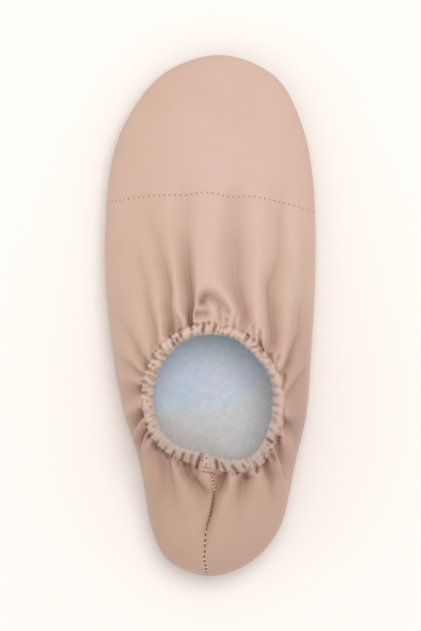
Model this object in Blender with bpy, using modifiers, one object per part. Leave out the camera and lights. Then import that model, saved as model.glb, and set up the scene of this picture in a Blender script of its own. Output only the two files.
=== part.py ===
"""A slip-on water shoe for the left foot: thin cloth upper, elastic collar, foam insole, rubber outsole.

Metres, +Z up. The toe points to +Y and the inner side of the foot is at +X. The shoe stands empty on
its sole, and the origin is on the floor under the middle of its plan. Tables are in fractions of the
driving sizes or in millimetres, as their headings say.
"""

import math

import bmesh
import bpy
import numpy as np

MM = 0.001

# Driving sizes
LENGTH = 240 * MM
BALL_WIDTH = 97.2 * MM
INSTEP_HEIGHT = 47 * MM          # top of the cloth roof beside the opening
HEEL_HEIGHT = 38 * MM            # top of the cloth roof over the back of the heel
WALL = 1.2 * MM                  # cloth and lining together
GAP = 0.3 * MM                   # between pieces that meet

SOLE_THICK = 3.0 * MM
SOLE_INSET = 3.0 * MM            # how far the sole's edge hides under the widest line of the upper
SOLE_EDGE = 0.9 * MM             # rounding of the sole's lower edge
INSOLE_THICK = 4.0 * MM
INSOLE_INSET = 4.7 * MM          # clear of the upper's turned-in lower edge
INSOLE_EDGE = 1.0 * MM

TUCK_DEPTH = 5.0 * MM            # reach of the cloth's turn under the widest line
TUCK_TURN = math.radians(70)     # how far that turn goes round before it meets the sole

BAND_WIDTH = 5.2 * MM            # elastic casing, in plan
BAND_HEIGHT = 4.4 * MM
LIP = 1.5 * MM                   # level edge of the upper where the casing is sewn on
COLLAR_ALONG = 0.345             # middle of the opening, as a fraction of the length from the heel
COLLAR_ACROSS = 2.0 * MM         # towards the inner side

# Outline of the widest line, counter-clockwise from the inner side.
# across: half ball widths from the middle line, along: lengths from the heel.
OUTLINE = [
    # place                 across   along
    ("inside waist",         0.902,  0.300),
    ("inside arch",          0.956,  0.430),
    ("inside ball",          0.996,  0.667),
    ("big toe joint",        0.972,  0.762),
    ("big toe",              0.880,  0.859),
    ("big toe corner",       0.622,  0.957),
    ("toe tip",              0.118,  1.000),
    ("outer toe corner",    -0.410,  0.969),
    ("little toe",          -0.806,  0.872),
    ("outside ball",        -1.000,  0.652),
    ("outside middle",      -0.952,  0.470),
    ("outside waist",       -0.812,  0.308),
    ("outside ankle",       -0.668,  0.215),
    ("outside heel",        -0.620,  0.160),
    ("outside heel turn",   -0.566,  0.098),
    ("outside heel corner", -0.425,  0.035),
    ("heel back",            0.010,  0.000),
    ("inside heel corner",   0.442,  0.036),
    ("inside heel turn",     0.668,  0.098),
    ("inside heel",          0.748,  0.160),
    ("inside ankle",         0.802,  0.215),
]

# Cross sections from heel to toe. widest: height of the widest line. roof: height of the middle of the roof.
# shoulder: how far in from the outline the roof is still rounding over. along: lengths from the heel.
SECTIONS = [
    # place         along  widest     roof                   shoulder
    ("heel back",   0.00,  16.0 * MM,  1.00 * HEEL_HEIGHT,   30 * MM),
    ("heel",        0.10,  15.5 * MM,  1.08 * HEEL_HEIGHT,   31 * MM),
    ("ankle",       0.21,  15.0 * MM,  0.98 * INSTEP_HEIGHT, 33 * MM),
    ("opening",     0.35,  14.0 * MM,  1.05 * INSTEP_HEIGHT, 35 * MM),
    ("instep",      0.49,  13.5 * MM,  0.93 * INSTEP_HEIGHT, 39 * MM),
    ("waist",       0.60,  13.0 * MM,  0.78 * INSTEP_HEIGHT, 40 * MM),
    ("ball",        0.71,  12.5 * MM,  0.67 * INSTEP_HEIGHT, 38 * MM),
    ("toes",        0.83,  13.0 * MM,  0.56 * INSTEP_HEIGHT, 33 * MM),
    ("toe end",     0.94,  14.5 * MM,  0.49 * INSTEP_HEIGHT, 28 * MM),
    ("toe tip",     1.00,  15.5 * MM,  0.46 * INSTEP_HEIGHT, 27 * MM),
]

# Run of the collar band's core around the middle of the opening, in mm at clock angles from the inner side.
COLLAR = [
    # angle  radius  height
    (0,      29.6,   43.0),
    (24,     29.6,   43.2),
    (47,     29.8,   43.8),
    (70,     31.2,   44.6),
    (92,     31.3,   45.0),
    (115,    31.2,   44.6),
    (140,    30.4,   43.6),
    (165,    30.3,   43.0),
    (190,    30.1,   42.8),
    (208,    31.0,   42.8),
    (230,    30.2,   43.0),
    (254,    28.9,   43.6),
    (270,    29.7,   44.0),
    (288,    33.0,   43.8),
    (304,    34.8,   43.2),
    (320,    33.0,   42.8),
    (340,    30.7,   42.8),
]

# Rise of the sole's underside over the floor, in mm at lengths from the heel. Flat under heel and ball.
SPRING = [
    # along  rise
    (0.00,   1.6),
    (0.03,   0.5),
    (0.07,   0.0),
    (0.32,   0.0),
    (0.37,   0.6),
    (0.43,   1.3),
    (0.50,   0.6),
    (0.55,   0.0),
    (0.76,   0.0),
    (0.84,   1.0),
    (0.92,   2.9),
    (1.00,   5.6),
]

# Flex grooves across the tread, at lengths from the heel.
GROOVES = [0.115, 0.175, 0.235, 0.585, 0.635, 0.685, 0.735]
GROOVE_WIDTH = 2.6 * MM
GROOVE_DEPTH = 1.2 * MM

# Mesh fineness
FRONT_STEPS = 50                 # around, from the inner side over the toe to the outer side
REAR_STEPS = 26                  # around, from the outer side over the heel
TUCK_STEPS = 3
ROOF_STEPS = 12
BAND_SIDES = 10
BEND_STEPS = 36                  # cuts across a sole layer, so that it bends along its length


def through(places, values, at):
    """Smooth curve through values given at places, read at other places."""
    places = np.asarray(places, dtype=float)
    values = np.asarray(values, dtype=float)
    at = np.asarray(at, dtype=float)
    slopes = np.gradient(values, places)
    span = np.clip(np.searchsorted(places, at, side="right") - 1, 0, len(places) - 2)
    step = places[span + 1] - places[span]
    t = np.clip((at - places[span]) / step, 0, 1)
    ends = (2 * t**3 - 3 * t**2 + 1) * values[span] + (3 * t**2 - 2 * t**3) * values[span + 1]
    lean = (t**3 - 2 * t**2 + t) * slopes[span] + (t**3 - t**2) * slopes[span + 1]
    return ends + lean * step


def section(name, at):
    """One column of the SECTIONS table as a smooth curve along the shoe."""
    index = {"widest": 2, "roof": 3, "shoulder": 4}[name]
    return through([row[1] for row in SECTIONS], [row[index] for row in SECTIONS], at)


def along(y):
    """Fraction of the length from the heel, at a y of the part's frame."""
    return y / LENGTH + 0.5


def rise(y):
    """Height of the sole's underside over the floor."""
    return np.maximum(MM * through([row[0] for row in SPRING], [row[1] for row in SPRING], along(y)), 0)


def walk(points, count):
    """count + 1 points evenly spaced along an open polyline, both ends included."""
    steps = np.linalg.norm(np.diff(points, axis=0), axis=1)
    run = np.concatenate([[0], np.cumsum(steps)])
    at = np.linspace(0, run[-1], count + 1)
    return np.stack([np.interp(at, run, points[:, axis]) for axis in range(2)], axis=1)


def dense_outline(samples=1600):
    """The outline as a fine closed polyline, from the OUTLINE table."""
    knots = np.array([(0.5 * BALL_WIDTH * x, LENGTH * (y - 0.5)) for _, x, y in OUTLINE])
    count = len(knots)
    wrapped = np.array([knots[i % count] for i in range(-3, count + 4)])
    chords = np.linalg.norm(np.diff(wrapped, axis=0), axis=1)
    places = np.concatenate([[0], np.cumsum(chords)])
    at = np.linspace(places[3], places[3 + count], samples, endpoint=False)
    return np.stack([through(places, wrapped[:, axis], at) for axis in range(2)], axis=1)


FINE = dense_outline()
COLLAR_CENTRE = np.array([COLLAR_ACROSS, LENGTH * (COLLAR_ALONG - 0.5)])


def outline_ring():
    """Points around the outline: the front run over the toe, then the rear run over the heel."""
    above = FINE[:, 1] > COLLAR_CENTRE[1]
    first = int(np.flatnonzero(above & ~np.roll(above, 1))[0])
    loop = np.roll(FINE, -first, axis=0)
    turn = int(np.flatnonzero(loop[:, 1] < COLLAR_CENTRE[1])[0])
    front = walk(loop[:turn], FRONT_STEPS)
    rear = walk(np.vstack([loop[turn - 1:], loop[:1]]), REAR_STEPS)
    return np.vstack([front[:-1], rear[:-1]])


def clock_angles():
    """The collar's clock angle that each point of the outline ring faces."""
    front = np.linspace(0, 180, FRONT_STEPS, endpoint=False)
    rear = np.linspace(180, 360, REAR_STEPS, endpoint=False)
    return np.concatenate([front, rear])


def collar_core(angle):
    """Radius and height of the collar band's core at clock angles in degrees."""
    before = [(a - 360, r, h) for a, r, h in COLLAR[-3:]]
    after = [(a + 360, r, h) for a, r, h in COLLAR[:3]]
    rows = before + COLLAR + after
    angles = [row[0] for row in rows]
    radius = MM * through(angles, [row[1] for row in rows], angle)
    height = MM * through(angles, [row[2] for row in rows], angle)
    return radius, height


def collar_ring(angle, out):
    """Plan points beside the collar band's core, a distance outwards from it."""
    radius, _ = collar_core(angle)
    turn = np.radians(angle)
    return COLLAR_CENTRE + np.stack([np.cos(turn), np.sin(turn)], axis=1) * (radius + out)[:, None]


def outward(ring):
    """Unit normals of a closed counter-clockwise ring in plan."""
    run = np.roll(ring, -1, axis=0) - np.roll(ring, 1, axis=0)
    normal = np.stack([run[:, 1], -run[:, 0]], axis=1)
    return normal / np.linalg.norm(normal, axis=1)[:, None]


def edge_distance(points):
    """Plan distance from each point to the outline."""
    start = FINE
    step = np.roll(FINE, -1, axis=0) - FINE
    result = []
    for point in points:
        t = np.clip(((point - start) * step).sum(axis=1) / (step * step).sum(axis=1), 0, 1)
        result.append(np.linalg.norm(start + step * t[:, None] - point, axis=1).min())
    return np.array(result)


def widest_height(points):
    """Height of the widest line beside plan points."""
    return section("widest", along(points[:, 1]))


def roof_height(points):
    """Height of the cloth roof over plan points, before it is led to the collar."""
    place = along(points[:, 1])
    low = widest_height(points)
    high = section("roof", place)
    inward = 1 - np.minimum(edge_distance(points) / section("shoulder", place), 1)
    return low + (high - low) * np.sqrt(1 - inward**2)


def smooth(t):
    """Soft step from 0 to 1."""
    return t * t * (3 - 2 * t)


def upper_rings():
    """Rings of the upper's outer face, from the edge on the sole up to the collar."""
    ring = outline_ring()
    angle = clock_angles()
    widest = widest_height(ring)
    rings = []
    for step in range(TUCK_STEPS):
        turn = TUCK_TURN * (1 - step / TUCK_STEPS)
        plan = ring - outward(ring) * TUCK_DEPTH * (1 - math.cos(turn))
        foot = rise(plan[:, 1]) + SOLE_THICK + GAP
        height = widest - (widest - foot) * math.sin(turn) / math.sin(TUCK_TURN)
        rings.append(np.column_stack([plan, height]))
    rim = collar_ring(angle, BAND_WIDTH / 2 + GAP + LIP)
    _, core = collar_core(angle)
    rim_height = core + WALL / 2
    lead = rim_height - roof_height(rim)
    for step in range(ROOF_STEPS + 1):
        share = (step / ROOF_STEPS) ** 2
        plan = ring + (rim - ring) * share
        height = roof_height(plan) + lead * smooth(share)
        rings.append(np.column_stack([plan, height]))
    rings.append(np.column_stack([collar_ring(angle, BAND_WIDTH / 2 + GAP), rim_height]))
    return rings


def bridge(mesh, rings):
    """Quads between rings of equal count, each closed on itself."""
    rows = [[mesh.verts.new(point) for point in ring] for ring in rings]
    for low, high in zip(rows, rows[1:]):
        for i in range(len(low)):
            j = (i + 1) % len(low)
            mesh.faces.new((low[i], low[j], high[j], high[i]))


def add_object(name, mesh, material, collection):
    """A named object from a bmesh, with its material, shaded smooth except at sharp edges."""
    data = bpy.data.meshes.new(name)
    mesh.to_mesh(data)
    mesh.free()
    data.shade_smooth()
    data.set_sharp_from_angle(angle=math.radians(40))
    data.materials.append(material)
    piece = bpy.data.objects.new(name, data)
    collection.objects.link(piece)
    return piece


def finish(name, colour, roughness, metallic=0.0):
    """A Principled material."""
    material = bpy.data.materials.new(name)
    material.use_nodes = True
    shader = material.node_tree.nodes["Principled BSDF"]
    shader.inputs["Base Color"].default_value = (*colour, 1)
    shader.inputs["Roughness"].default_value = roughness
    shader.inputs["Metallic"].default_value = metallic
    return material


def make_upper(collection):
    """Cloth shell: one open surface given its wall inwards."""
    mesh = bmesh.new()
    bridge(mesh, upper_rings())
    piece = add_object("upper", mesh, finish("rose cloth", (0.69, 0.50, 0.42), 0.75), collection)
    wall = piece.modifiers.new("wall", "SOLIDIFY")
    wall.thickness = WALL
    wall.offset = -1
    wall.use_even_offset = True


def make_collar_band(collection):
    """Elastic casing: a ring of oval section along the collar's core."""
    angle = clock_angles()
    _, core = collar_core(angle)
    mesh = bmesh.new()
    rings = []
    for side in range(BAND_SIDES):
        turn = math.tau * side / BAND_SIDES
        plan = collar_ring(angle, BAND_WIDTH / 2 * math.cos(turn))
        rings.append(np.column_stack([plan, core + BAND_HEIGHT / 2 * math.sin(turn)]))
    bridge(mesh, rings + rings[:1])
    bmesh.ops.remove_doubles(mesh, verts=mesh.verts, dist=0.01 * MM)
    add_object("collar_band", mesh, finish("rose casing", (0.74, 0.53, 0.43), 0.7), collection)


def bent_layer(inset, low, thick, edge, round_top):
    """A layer of the sole, extruded flat with rounded rims, then cut across and bent to the spring."""
    ring = outline_ring()
    plan = ring - outward(ring) * inset
    mesh = bmesh.new()
    base = [mesh.verts.new((x, y, low)) for x, y in plan]
    face = mesh.faces.new(base)
    lifted = bmesh.ops.extrude_face_region(mesh, geom=[face])["geom"]
    lid = [item for item in lifted if isinstance(item, bmesh.types.BMVert)]
    bmesh.ops.translate(mesh, verts=lid, vec=(0, 0, thick))
    bmesh.ops.recalc_face_normals(mesh, faces=mesh.faces)
    mid = low + thick / 2
    rims = [
        e for e in mesh.edges
        if abs(e.verts[0].co.z - e.verts[1].co.z) < edge / 2 and (round_top or e.verts[0].co.z < mid)
    ]
    bmesh.ops.bevel(mesh, geom=rims, offset=edge, segments=2, profile=0.5, affect="EDGES", material=-1)
    for cut in range(1, BEND_STEPS):
        y = LENGTH * (cut / BEND_STEPS - 0.5)
        geometry = list(mesh.verts) + list(mesh.edges) + list(mesh.faces)
        bmesh.ops.bisect_plane(mesh, geom=geometry, dist=0.01 * MM, plane_co=(0, y, 0), plane_no=(0, 1, 0))
    for vertex in mesh.verts:
        vertex.co.z += float(rise(vertex.co.y))
    bmesh.ops.triangulate(mesh, faces=mesh.faces)
    return mesh


def make_insole(collection):
    """Foam pad that lies on the outsole inside the upper's lower edge."""
    mesh = bent_layer(INSOLE_INSET, SOLE_THICK + GAP, INSOLE_THICK, INSOLE_EDGE, round_top=True)
    add_object("insole", mesh, finish("blue footbed cloth", (0.58, 0.63, 0.71), 0.85), collection)


def make_outsole(collection, cutters):
    """Thin rubber sole with flex grooves across heel and forefoot."""
    mesh = bent_layer(SOLE_INSET, 0, SOLE_THICK, SOLE_EDGE, round_top=False)
    piece = add_object("outsole", mesh, finish("grey rubber", (0.30, 0.27, 0.25), 0.8), collection)
    for number, place in enumerate(GROOVES):
        bpy.ops.mesh.primitive_cube_add(size=1, location=(0, LENGTH * (place - 0.5), 0))
        bar = bpy.context.object
        bar.name = f"groove_cutter_{number}"
        bar.scale = (1.2 * BALL_WIDTH, GROOVE_WIDTH, 2 * GROOVE_DEPTH)
        bpy.ops.object.transform_apply(location=False, rotation=False, scale=True)
        for other in list(bar.users_collection):
            other.objects.unlink(bar)
        cutters.objects.link(bar)
        bar.hide_render = True
        bar.display_type = "WIRE"
        cut = piece.modifiers.new(f"groove {number}", "BOOLEAN")
        cut.object = bar
        cut.operation = "DIFFERENCE"


def main():
    for old in list(bpy.data.objects):
        bpy.data.objects.remove(old)
    shoe = bpy.data.collections.new("water_shoe")
    cutters = bpy.data.collections.new("cutters")
    bpy.context.scene.collection.children.link(shoe)
    bpy.context.scene.collection.children.link(cutters)
    make_upper(shoe)
    make_collar_band(shoe)
    make_insole(shoe)
    make_outsole(shoe, cutters)


main()
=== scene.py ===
"""A slip-on water shoe for the left foot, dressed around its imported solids.

Metres, +Z up. The toe points to +Y, the inner side of the foot is at +X, and the floor is at zero.
Tables are in millimetres, degrees and fractions of the shoe's length, as their headings say.
"""

import math

import bmesh
import bpy
import numpy as np
from mathutils import Matrix, Vector, kdtree
from mathutils.bvhtree import BVHTree


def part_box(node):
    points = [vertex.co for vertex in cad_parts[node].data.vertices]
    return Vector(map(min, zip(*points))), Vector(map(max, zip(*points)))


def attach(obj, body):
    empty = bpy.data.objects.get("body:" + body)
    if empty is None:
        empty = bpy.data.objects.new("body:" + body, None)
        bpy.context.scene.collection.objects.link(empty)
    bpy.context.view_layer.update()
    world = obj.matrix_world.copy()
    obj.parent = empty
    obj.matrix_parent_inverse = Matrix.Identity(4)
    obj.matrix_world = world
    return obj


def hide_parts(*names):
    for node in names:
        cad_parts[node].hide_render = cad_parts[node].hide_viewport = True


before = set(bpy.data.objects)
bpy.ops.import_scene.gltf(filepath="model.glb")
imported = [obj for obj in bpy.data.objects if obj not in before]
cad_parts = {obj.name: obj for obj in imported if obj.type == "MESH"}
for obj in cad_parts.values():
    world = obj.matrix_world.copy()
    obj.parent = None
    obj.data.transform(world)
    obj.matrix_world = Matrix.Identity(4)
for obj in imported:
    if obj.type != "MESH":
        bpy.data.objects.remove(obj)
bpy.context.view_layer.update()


# Outsole
# A thin sheet of moulded rubber under the whole foot. Its underside has a smooth rim round a sunk field of
# low round nubs, and flex grooves run across it under the heel and the ball of the foot.

MM = 0.001
UPPER_LOW, UPPER_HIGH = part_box("upper")
LENGTH = UPPER_HIGH.y - UPPER_LOW.y
OUTLINE_SWELL = 0.06 * MM       # how far the outline's curve swells out past its points
HALF_BALL = (UPPER_HIGH.x - UPPER_LOW.x) / 2 - OUTLINE_SWELL

# Widest line of the shoe seen from above, counter-clockwise from the inner side.
# across: half ball widths from the middle line, along: lengths from the heel.
OUTLINE = [
    # place                 across   along
    ("inside waist",         0.902,  0.300),
    ("inside arch",          0.956,  0.430),
    ("inside ball",          0.996,  0.667),
    ("big toe joint",        0.972,  0.762),
    ("big toe",              0.880,  0.859),
    ("big toe corner",       0.622,  0.957),
    ("toe tip",              0.118,  1.000),
    ("outer toe corner",    -0.410,  0.969),
    ("little toe",          -0.806,  0.872),
    ("outside ball",        -1.000,  0.652),
    ("outside middle",      -0.952,  0.470),
    ("outside waist",       -0.812,  0.308),
    ("outside ankle",       -0.668,  0.215),
    ("outside heel",        -0.620,  0.160),
    ("outside heel turn",   -0.566,  0.098),
    ("outside heel corner", -0.425,  0.035),
    ("heel back",            0.010,  0.000),
    ("inside heel corner",   0.442,  0.036),
    ("inside heel turn",     0.668,  0.098),
    ("inside heel",          0.748,  0.160),
    ("inside ankle",         0.802,  0.215),
]

# Rise of the sole's underside over the floor.
SPRING = [
    # along  rise (mm)
    (0.00,   1.6),
    (0.03,   0.5),
    (0.07,   0.0),
    (0.32,   0.0),
    (0.37,   0.6),
    (0.43,   1.3),
    (0.50,   0.6),
    (0.55,   0.0),
    (0.76,   0.0),
    (0.84,   1.0),
    (0.92,   2.9),
    (1.00,   5.6),
]
FLEX_GROOVES = [0.115, 0.175, 0.235, 0.585, 0.635, 0.685, 0.735]    # lengths from the heel
GROOVE_WIDTH = 2.6 * MM
GROOVE_DEPTH = 1.2 * MM
GROOVE_SLOPE = 0.4 * MM
SOLE_THICK = 3.0 * MM
SOLE_INSET = 3.0 * MM
SOLE_EDGE = 0.9 * MM
SOLE_RIM = 2.6 * MM
SOLE_BENDS = 40                 # slices along the sole, so that it can follow the spring
FIELD_SUNK = 0.7 * MM
FIELD_STEP = 0.4 * MM
NUB_PITCH = 4.8 * MM
NUB_FOOT = 1.8 * MM
NUB_TIP = 1.4 * MM
NUB_SET_IN = 0.2 * MM           # how far its root goes into the sole
NUB_CLEAR = 0.6                 # share of its foot that it keeps off the grooves
NUB_COLUMNS = 12                # on either side of the middle line
OUTLINE_POINTS = 1600
LAYER_STEP = 5                  # points of the fine outline between two corners of a layer
HAIR = 0.01 * MM                # nearer than this is at the same place
DOUBLE = 0.001 * MM             # nearer than this, two vertices are one
RUBBER = (0.215, 0.180, 0.155)
RUBBER_WORN = (0.262, 0.222, 0.193)


def sloped(places, values, rising, falling, at):
    """Curve through values given at places, with its slopes after and before each, read at other places."""
    span = np.clip(np.searchsorted(places, at, side="right") - 1, 0, len(places) - 2)
    step = places[span + 1] - places[span]
    t = np.clip((at - places[span]) / step, 0, 1)
    ends = (2 * t**3 - 3 * t**2 + 1) * values[span] + (3 * t**2 - 2 * t**3) * values[span + 1]
    lean = (t**3 - 2 * t**2 + t) * rising[span] + (t**3 - t**2) * falling[span + 1]
    return ends + lean * step


def through(places, values, at):
    """Smooth curve through values given at places, read at other places."""
    places, values, at = (np.asarray(numbers, dtype=float) for numbers in (places, values, at))
    slopes = np.gradient(values, places)
    return sloped(places, values, slopes, slopes, at)


def tabled(rows, at, column=1, by=0):
    """One column of a table as a smooth curve of another, read at places."""
    return through([row[by] for row in rows], [row[column] for row in rows], at)


def run_along(path):
    """Length along a path up to each of its points."""
    return np.concatenate([[0], np.cumsum(np.linalg.norm(np.diff(path, axis=0), axis=1))])


def curve_points(run, path, at):
    """Points of the smooth curve through a plan path's points, at lengths along it."""
    return np.stack([through(run, path[:, axis], at) for axis in range(2)], axis=1)


def along(y):
    """Fraction of the length from the heel."""
    return y / LENGTH + 0.5


def rise(y):
    """Height of the sole's underside over the floor."""
    return np.maximum(MM * tabled(SPRING, along(y)), 0)


def fine_outline():
    """The widest line as a fine closed polyline."""
    knots = np.array([(HALF_BALL * x, LENGTH * (y - 0.5)) for _, x, y in OUTLINE])
    count = len(knots)
    wrapped = np.array([knots[i % count] for i in range(-3, count + 4)])
    run = run_along(wrapped)
    return curve_points(run, wrapped, np.linspace(run[3], run[3 + count], OUTLINE_POINTS, endpoint=False))


def to_the_right(way):
    """Unit vectors square to plan vectors, on their right."""
    right = np.stack([way[:, 1], -way[:, 0]], axis=1)
    return right / np.linalg.norm(right, axis=1)[:, None]


def outward(ring):
    """Unit normals of a closed counter-clockwise ring, in plan."""
    return to_the_right(np.roll(ring, -1, axis=0) - np.roll(ring, 1, axis=0))


def flat_layer(inset, low, thick):
    """A slab with the shoe's outline, drawn in by inset; its upper and lower rim edges are returned too."""
    ring = fine_outline()
    plan = (ring - outward(ring) * inset)[::LAYER_STEP]
    mesh = bmesh.new()
    bmesh.ops.create_circle(mesh, cap_ends=True, segments=len(plan), radius=LENGTH)
    for vertex, (x, y) in zip(mesh.verts, plan):
        vertex.co = (x, y, low)
    lifted = bmesh.ops.extrude_face_region(mesh, geom=list(mesh.faces))["geom"]
    lid = [item for item in lifted if isinstance(item, bmesh.types.BMVert)]
    bmesh.ops.translate(mesh, verts=lid, vec=(0, 0, thick))
    bmesh.ops.recalc_face_normals(mesh, faces=mesh.faces)
    level = [e for e in mesh.edges if abs(e.verts[0].co.z - e.verts[1].co.z) < thick / 2]
    upper = [e for e in level if e.verts[0].co.z > low + thick / 2]
    lower = [e for e in level if e.verts[0].co.z < low + thick / 2]
    return mesh, upper, lower


def cut_across(mesh, places, axis=1):
    """Cuts the mesh through at places along an axis, so that it can bend there."""
    normal = Vector((axis == 0, axis == 1, 0))
    for place in places:
        everything = list(mesh.verts) + list(mesh.edges) + list(mesh.faces)
        point = normal * float(place)
        bmesh.ops.bisect_plane(mesh, geom=everything, dist=HAIR, plane_co=point, plane_no=normal)


def groove_share(y):
    """1 on the floor of a flex groove, falling to 0 beside it."""
    off = np.min([np.abs(y - LENGTH * (place - 0.5)) for place in FLEX_GROOVES], axis=0)
    return np.clip((GROOVE_WIDTH / 2 - off) / GROOVE_SLOPE, 0, 1)


def places_of(mesh):
    """The mesh's vertex places as an array."""
    return np.array([vertex.co for vertex in mesh.verts])


def put_places(mesh, places):
    """Moves the mesh's vertices to places."""
    for vertex, place in zip(mesh.verts, places):
        vertex.co = place


def as_data(name, mesh):
    """Mesh data from a bmesh, which ends here."""
    data = bpy.data.meshes.new(name)
    mesh.to_mesh(data)
    mesh.free()
    return data


def in_scene(name, data):
    """A new object in the scene."""
    made = bpy.data.objects.new(name, data)
    bpy.context.scene.collection.objects.link(made)
    return made


def add_piece(name, mesh, materials, sharp=40):
    """A finished piece from a bmesh, riding on the shoe, with its materials."""
    data = as_data(name, mesh)
    data.shade_smooth()
    data.set_sharp_from_angle(angle=math.radians(sharp))
    for material in materials:
        data.materials.append(material)
    piece = in_scene(name, data)
    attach(piece, "root")
    return piece


def blank(name, **values):
    """A new Principled material and its shader; values go on the shader's own sockets."""
    material = bpy.data.materials.new(name)
    material.use_nodes = True
    shader = material.node_tree.nodes["Principled BSDF"]
    for socket, value in values.items():
        shader.inputs[socket.replace("_", " ")].default_value = value
    return material, shader


def node(shader, kind, inputs=None, **settings):
    """The outputs of a new node; each of its inputs takes a value, or the output that feeds it."""
    tree = shader.id_data
    made = tree.nodes.new(kind)
    for name, value in settings.items():
        setattr(made, name, value)
    for name, value in (inputs or {}).items():
        if isinstance(value, bpy.types.NodeSocket):
            tree.links.new(value, made.inputs[name])
        else:
            made.inputs[name].default_value = value
    return made.outputs


def noise(shader, where, scale, detail, roughness=0.5):
    """Mottled noise over places."""
    inputs = {"Vector": where, "Scale": scale, "Detail": detail, "Roughness": roughness}
    return node(shader, "ShaderNodeTexNoise", inputs)["Fac"]


def ramp(shader, share, stops):
    """The colour at a share of a ramp with stops of (place, colour)."""
    colour = node(shader, "ShaderNodeValToRGB", {"Fac": share})["Color"]
    marks = colour.node.color_ramp.elements
    while len(marks) < len(stops):
        marks.new(0.5)
    for mark, (place, tone) in zip(marks, stops):
        mark.position = place
        mark.color = (*tone, 1)
    return colour


def dress(shader, colour, height, strength, depth):
    """Gives a shader its colour and its bump."""
    bump = node(shader, "ShaderNodeBump", {"Height": height, "Strength": strength, "Distance": depth})
    shader.id_data.links.new(colour, shader.inputs["Base Color"])
    shader.id_data.links.new(bump["Normal"], shader.inputs["Normal"])


def rubber_finish():
    """Matte rubber, a little worn in patches, with a fine grit."""
    material, shader = blank("matte rubber", Roughness=0.72)
    where = node(shader, "ShaderNodeTexCoord")["Object"]
    tone = ramp(shader, noise(shader, where, 60.0, 4.0), [(0.35, RUBBER), (0.68, RUBBER_WORN)])
    dress(shader, tone, noise(shader, where, 2600.0, 2.0), 0.35, 0.05 * MM)
    return material


def rounded(mesh, edges, size, segments):
    """Rounds edges of the mesh over."""
    bmesh.ops.bevel(
        mesh, geom=edges, offset=size, segments=segments, profile=0.5, affect="EDGES", material=-1
    )


def make_sole():
    """The sole with its rounded edge, sunk field and flex grooves, bent to the spring."""
    mesh, _, lower = flat_layer(SOLE_INSET, 0, SOLE_THICK)
    rounded(mesh, lower, SOLE_EDGE, 3)
    under = [f for f in mesh.faces if f.normal.z < -0.9 and f.calc_center_median().z < HAIR]
    under = [max(under, key=lambda f: f.calc_area())]
    bmesh.ops.inset_region(mesh, faces=under, thickness=SOLE_RIM - SOLE_EDGE, use_even_offset=True)
    bmesh.ops.inset_region(mesh, faces=under, thickness=FIELD_STEP, depth=-FIELD_SUNK, use_even_offset=True)
    edges = [-GROOVE_WIDTH / 2, GROOVE_SLOPE - GROOVE_WIDTH / 2]
    sides = edges + [-edge for edge in edges]
    cut_across(mesh, [LENGTH * (place - 0.5) + side for place in FLEX_GROOVES for side in sides])
    cut_across(mesh, [LENGTH * (step / SOLE_BENDS - 0.5) for step in range(1, SOLE_BENDS)])
    place = places_of(mesh)
    lift = GROOVE_DEPTH * groove_share(place[:, 1]) * (1 - place[:, 2] / SOLE_THICK)
    place[:, 2] += lift + rise(place[:, 1])
    put_places(mesh, place)
    return mesh


def finder_of(points):
    """A search tree over plan points."""
    finder = kdtree.KDTree(len(points))
    for index, (x, y) in enumerate(points):
        finder.insert((x, y, 0), index)
    finder.balance()
    return finder


def make_nubs():
    """Low round cones in staggered rows over the sunk field, clear of its edge and of the grooves."""
    mesh = bmesh.new()
    edge = fine_outline()
    edge = edge - outward(edge) * (SOLE_INSET + SOLE_RIM + FIELD_STEP + NUB_FOOT)
    finder = finder_of(edge)
    normals = outward(edge)
    row_step = NUB_PITCH * math.sqrt(3) / 2
    deep = FIELD_SUNK + NUB_SET_IN
    off_groove = GROOVE_WIDTH / 2 + NUB_FOOT * NUB_CLEAR
    last_row = int(LENGTH / 2 / row_step)
    for row in range(-last_row, last_row + 1):
        for column in range(-NUB_COLUMNS, NUB_COLUMNS + 1):
            x = NUB_PITCH * (column + 0.5 * (row % 2))
            y = row_step * row
            _, index, _ = finder.find((x, y, 0))
            inside = np.dot(np.array([x, y]) - edge[index], normals[index]) < 0
            clear = all(abs(y - LENGTH * (groove - 0.5)) > off_groove for groove in FLEX_GROOVES)
            if inside and clear:
                place = Matrix.Translation((x, y, deep / 2 + float(rise(y))))
                bmesh.ops.create_cone(
                    mesh, cap_ends=True, segments=10, radius1=NUB_TIP, radius2=NUB_FOOT, depth=deep,
                    matrix=place,
                )
    return mesh


rubber = rubber_finish()
outsole = add_piece("rubber_sole", make_sole(), [rubber])
add_piece("sole_nubs", make_nubs(), [rubber], sharp=50)
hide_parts("outsole")


# Insole
# A foam footbed covered with pale blue lining cloth, laid loose on the sole. Its cloth has a few shallow
# creases from wear, and is coloured grey-beige towards the heel. Painted light makes it lighter and bluer
# under the vamp, and painted shade darkens the back of the opening.

INSOLE_GAP = 0.3 * MM
INSOLE_THICK = 4.0 * MM
INSOLE_INSET = 4.7 * MM
INSOLE_EDGE = 1.0 * MM
FOOTBED_BENDS = 36                      # slices along it, so that it can follow the sole
FOOTBED_CELL = 1.4 * MM                 # and how finely it is cut below the opening
WAVE_HEIGHT = 0.10                      # mm
CREASE_END = 0.02                       # share of a crease's length that is left off at either end
GREY_RANGE = (-0.036, -0.048)           # m along the shoe, over which it turns grey
GREY_LEAN = 26.0                        # how fast that place moves forward towards the inner side
GREY_DRIFT = 0.006                      # m that it wanders
FRONT_LIGHT_RANGE = (-0.028, -0.010)          # m along the shoe, over which painted light makes it lighter and bluer
REAR_SHADE_RANGE = (-0.052, -0.065)           # and over which painted shade darkens it
REAR_SHADE_SLANT = 0.5                        # how fast that place moves forward towards the outer side
FLECK_TONE = (0.905, 0.910, 0.925)
FOOTBED_BLUE = (0.735, 0.830, 0.965)
FOOTBED_PALE = (0.830, 0.880, 0.955)
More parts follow.
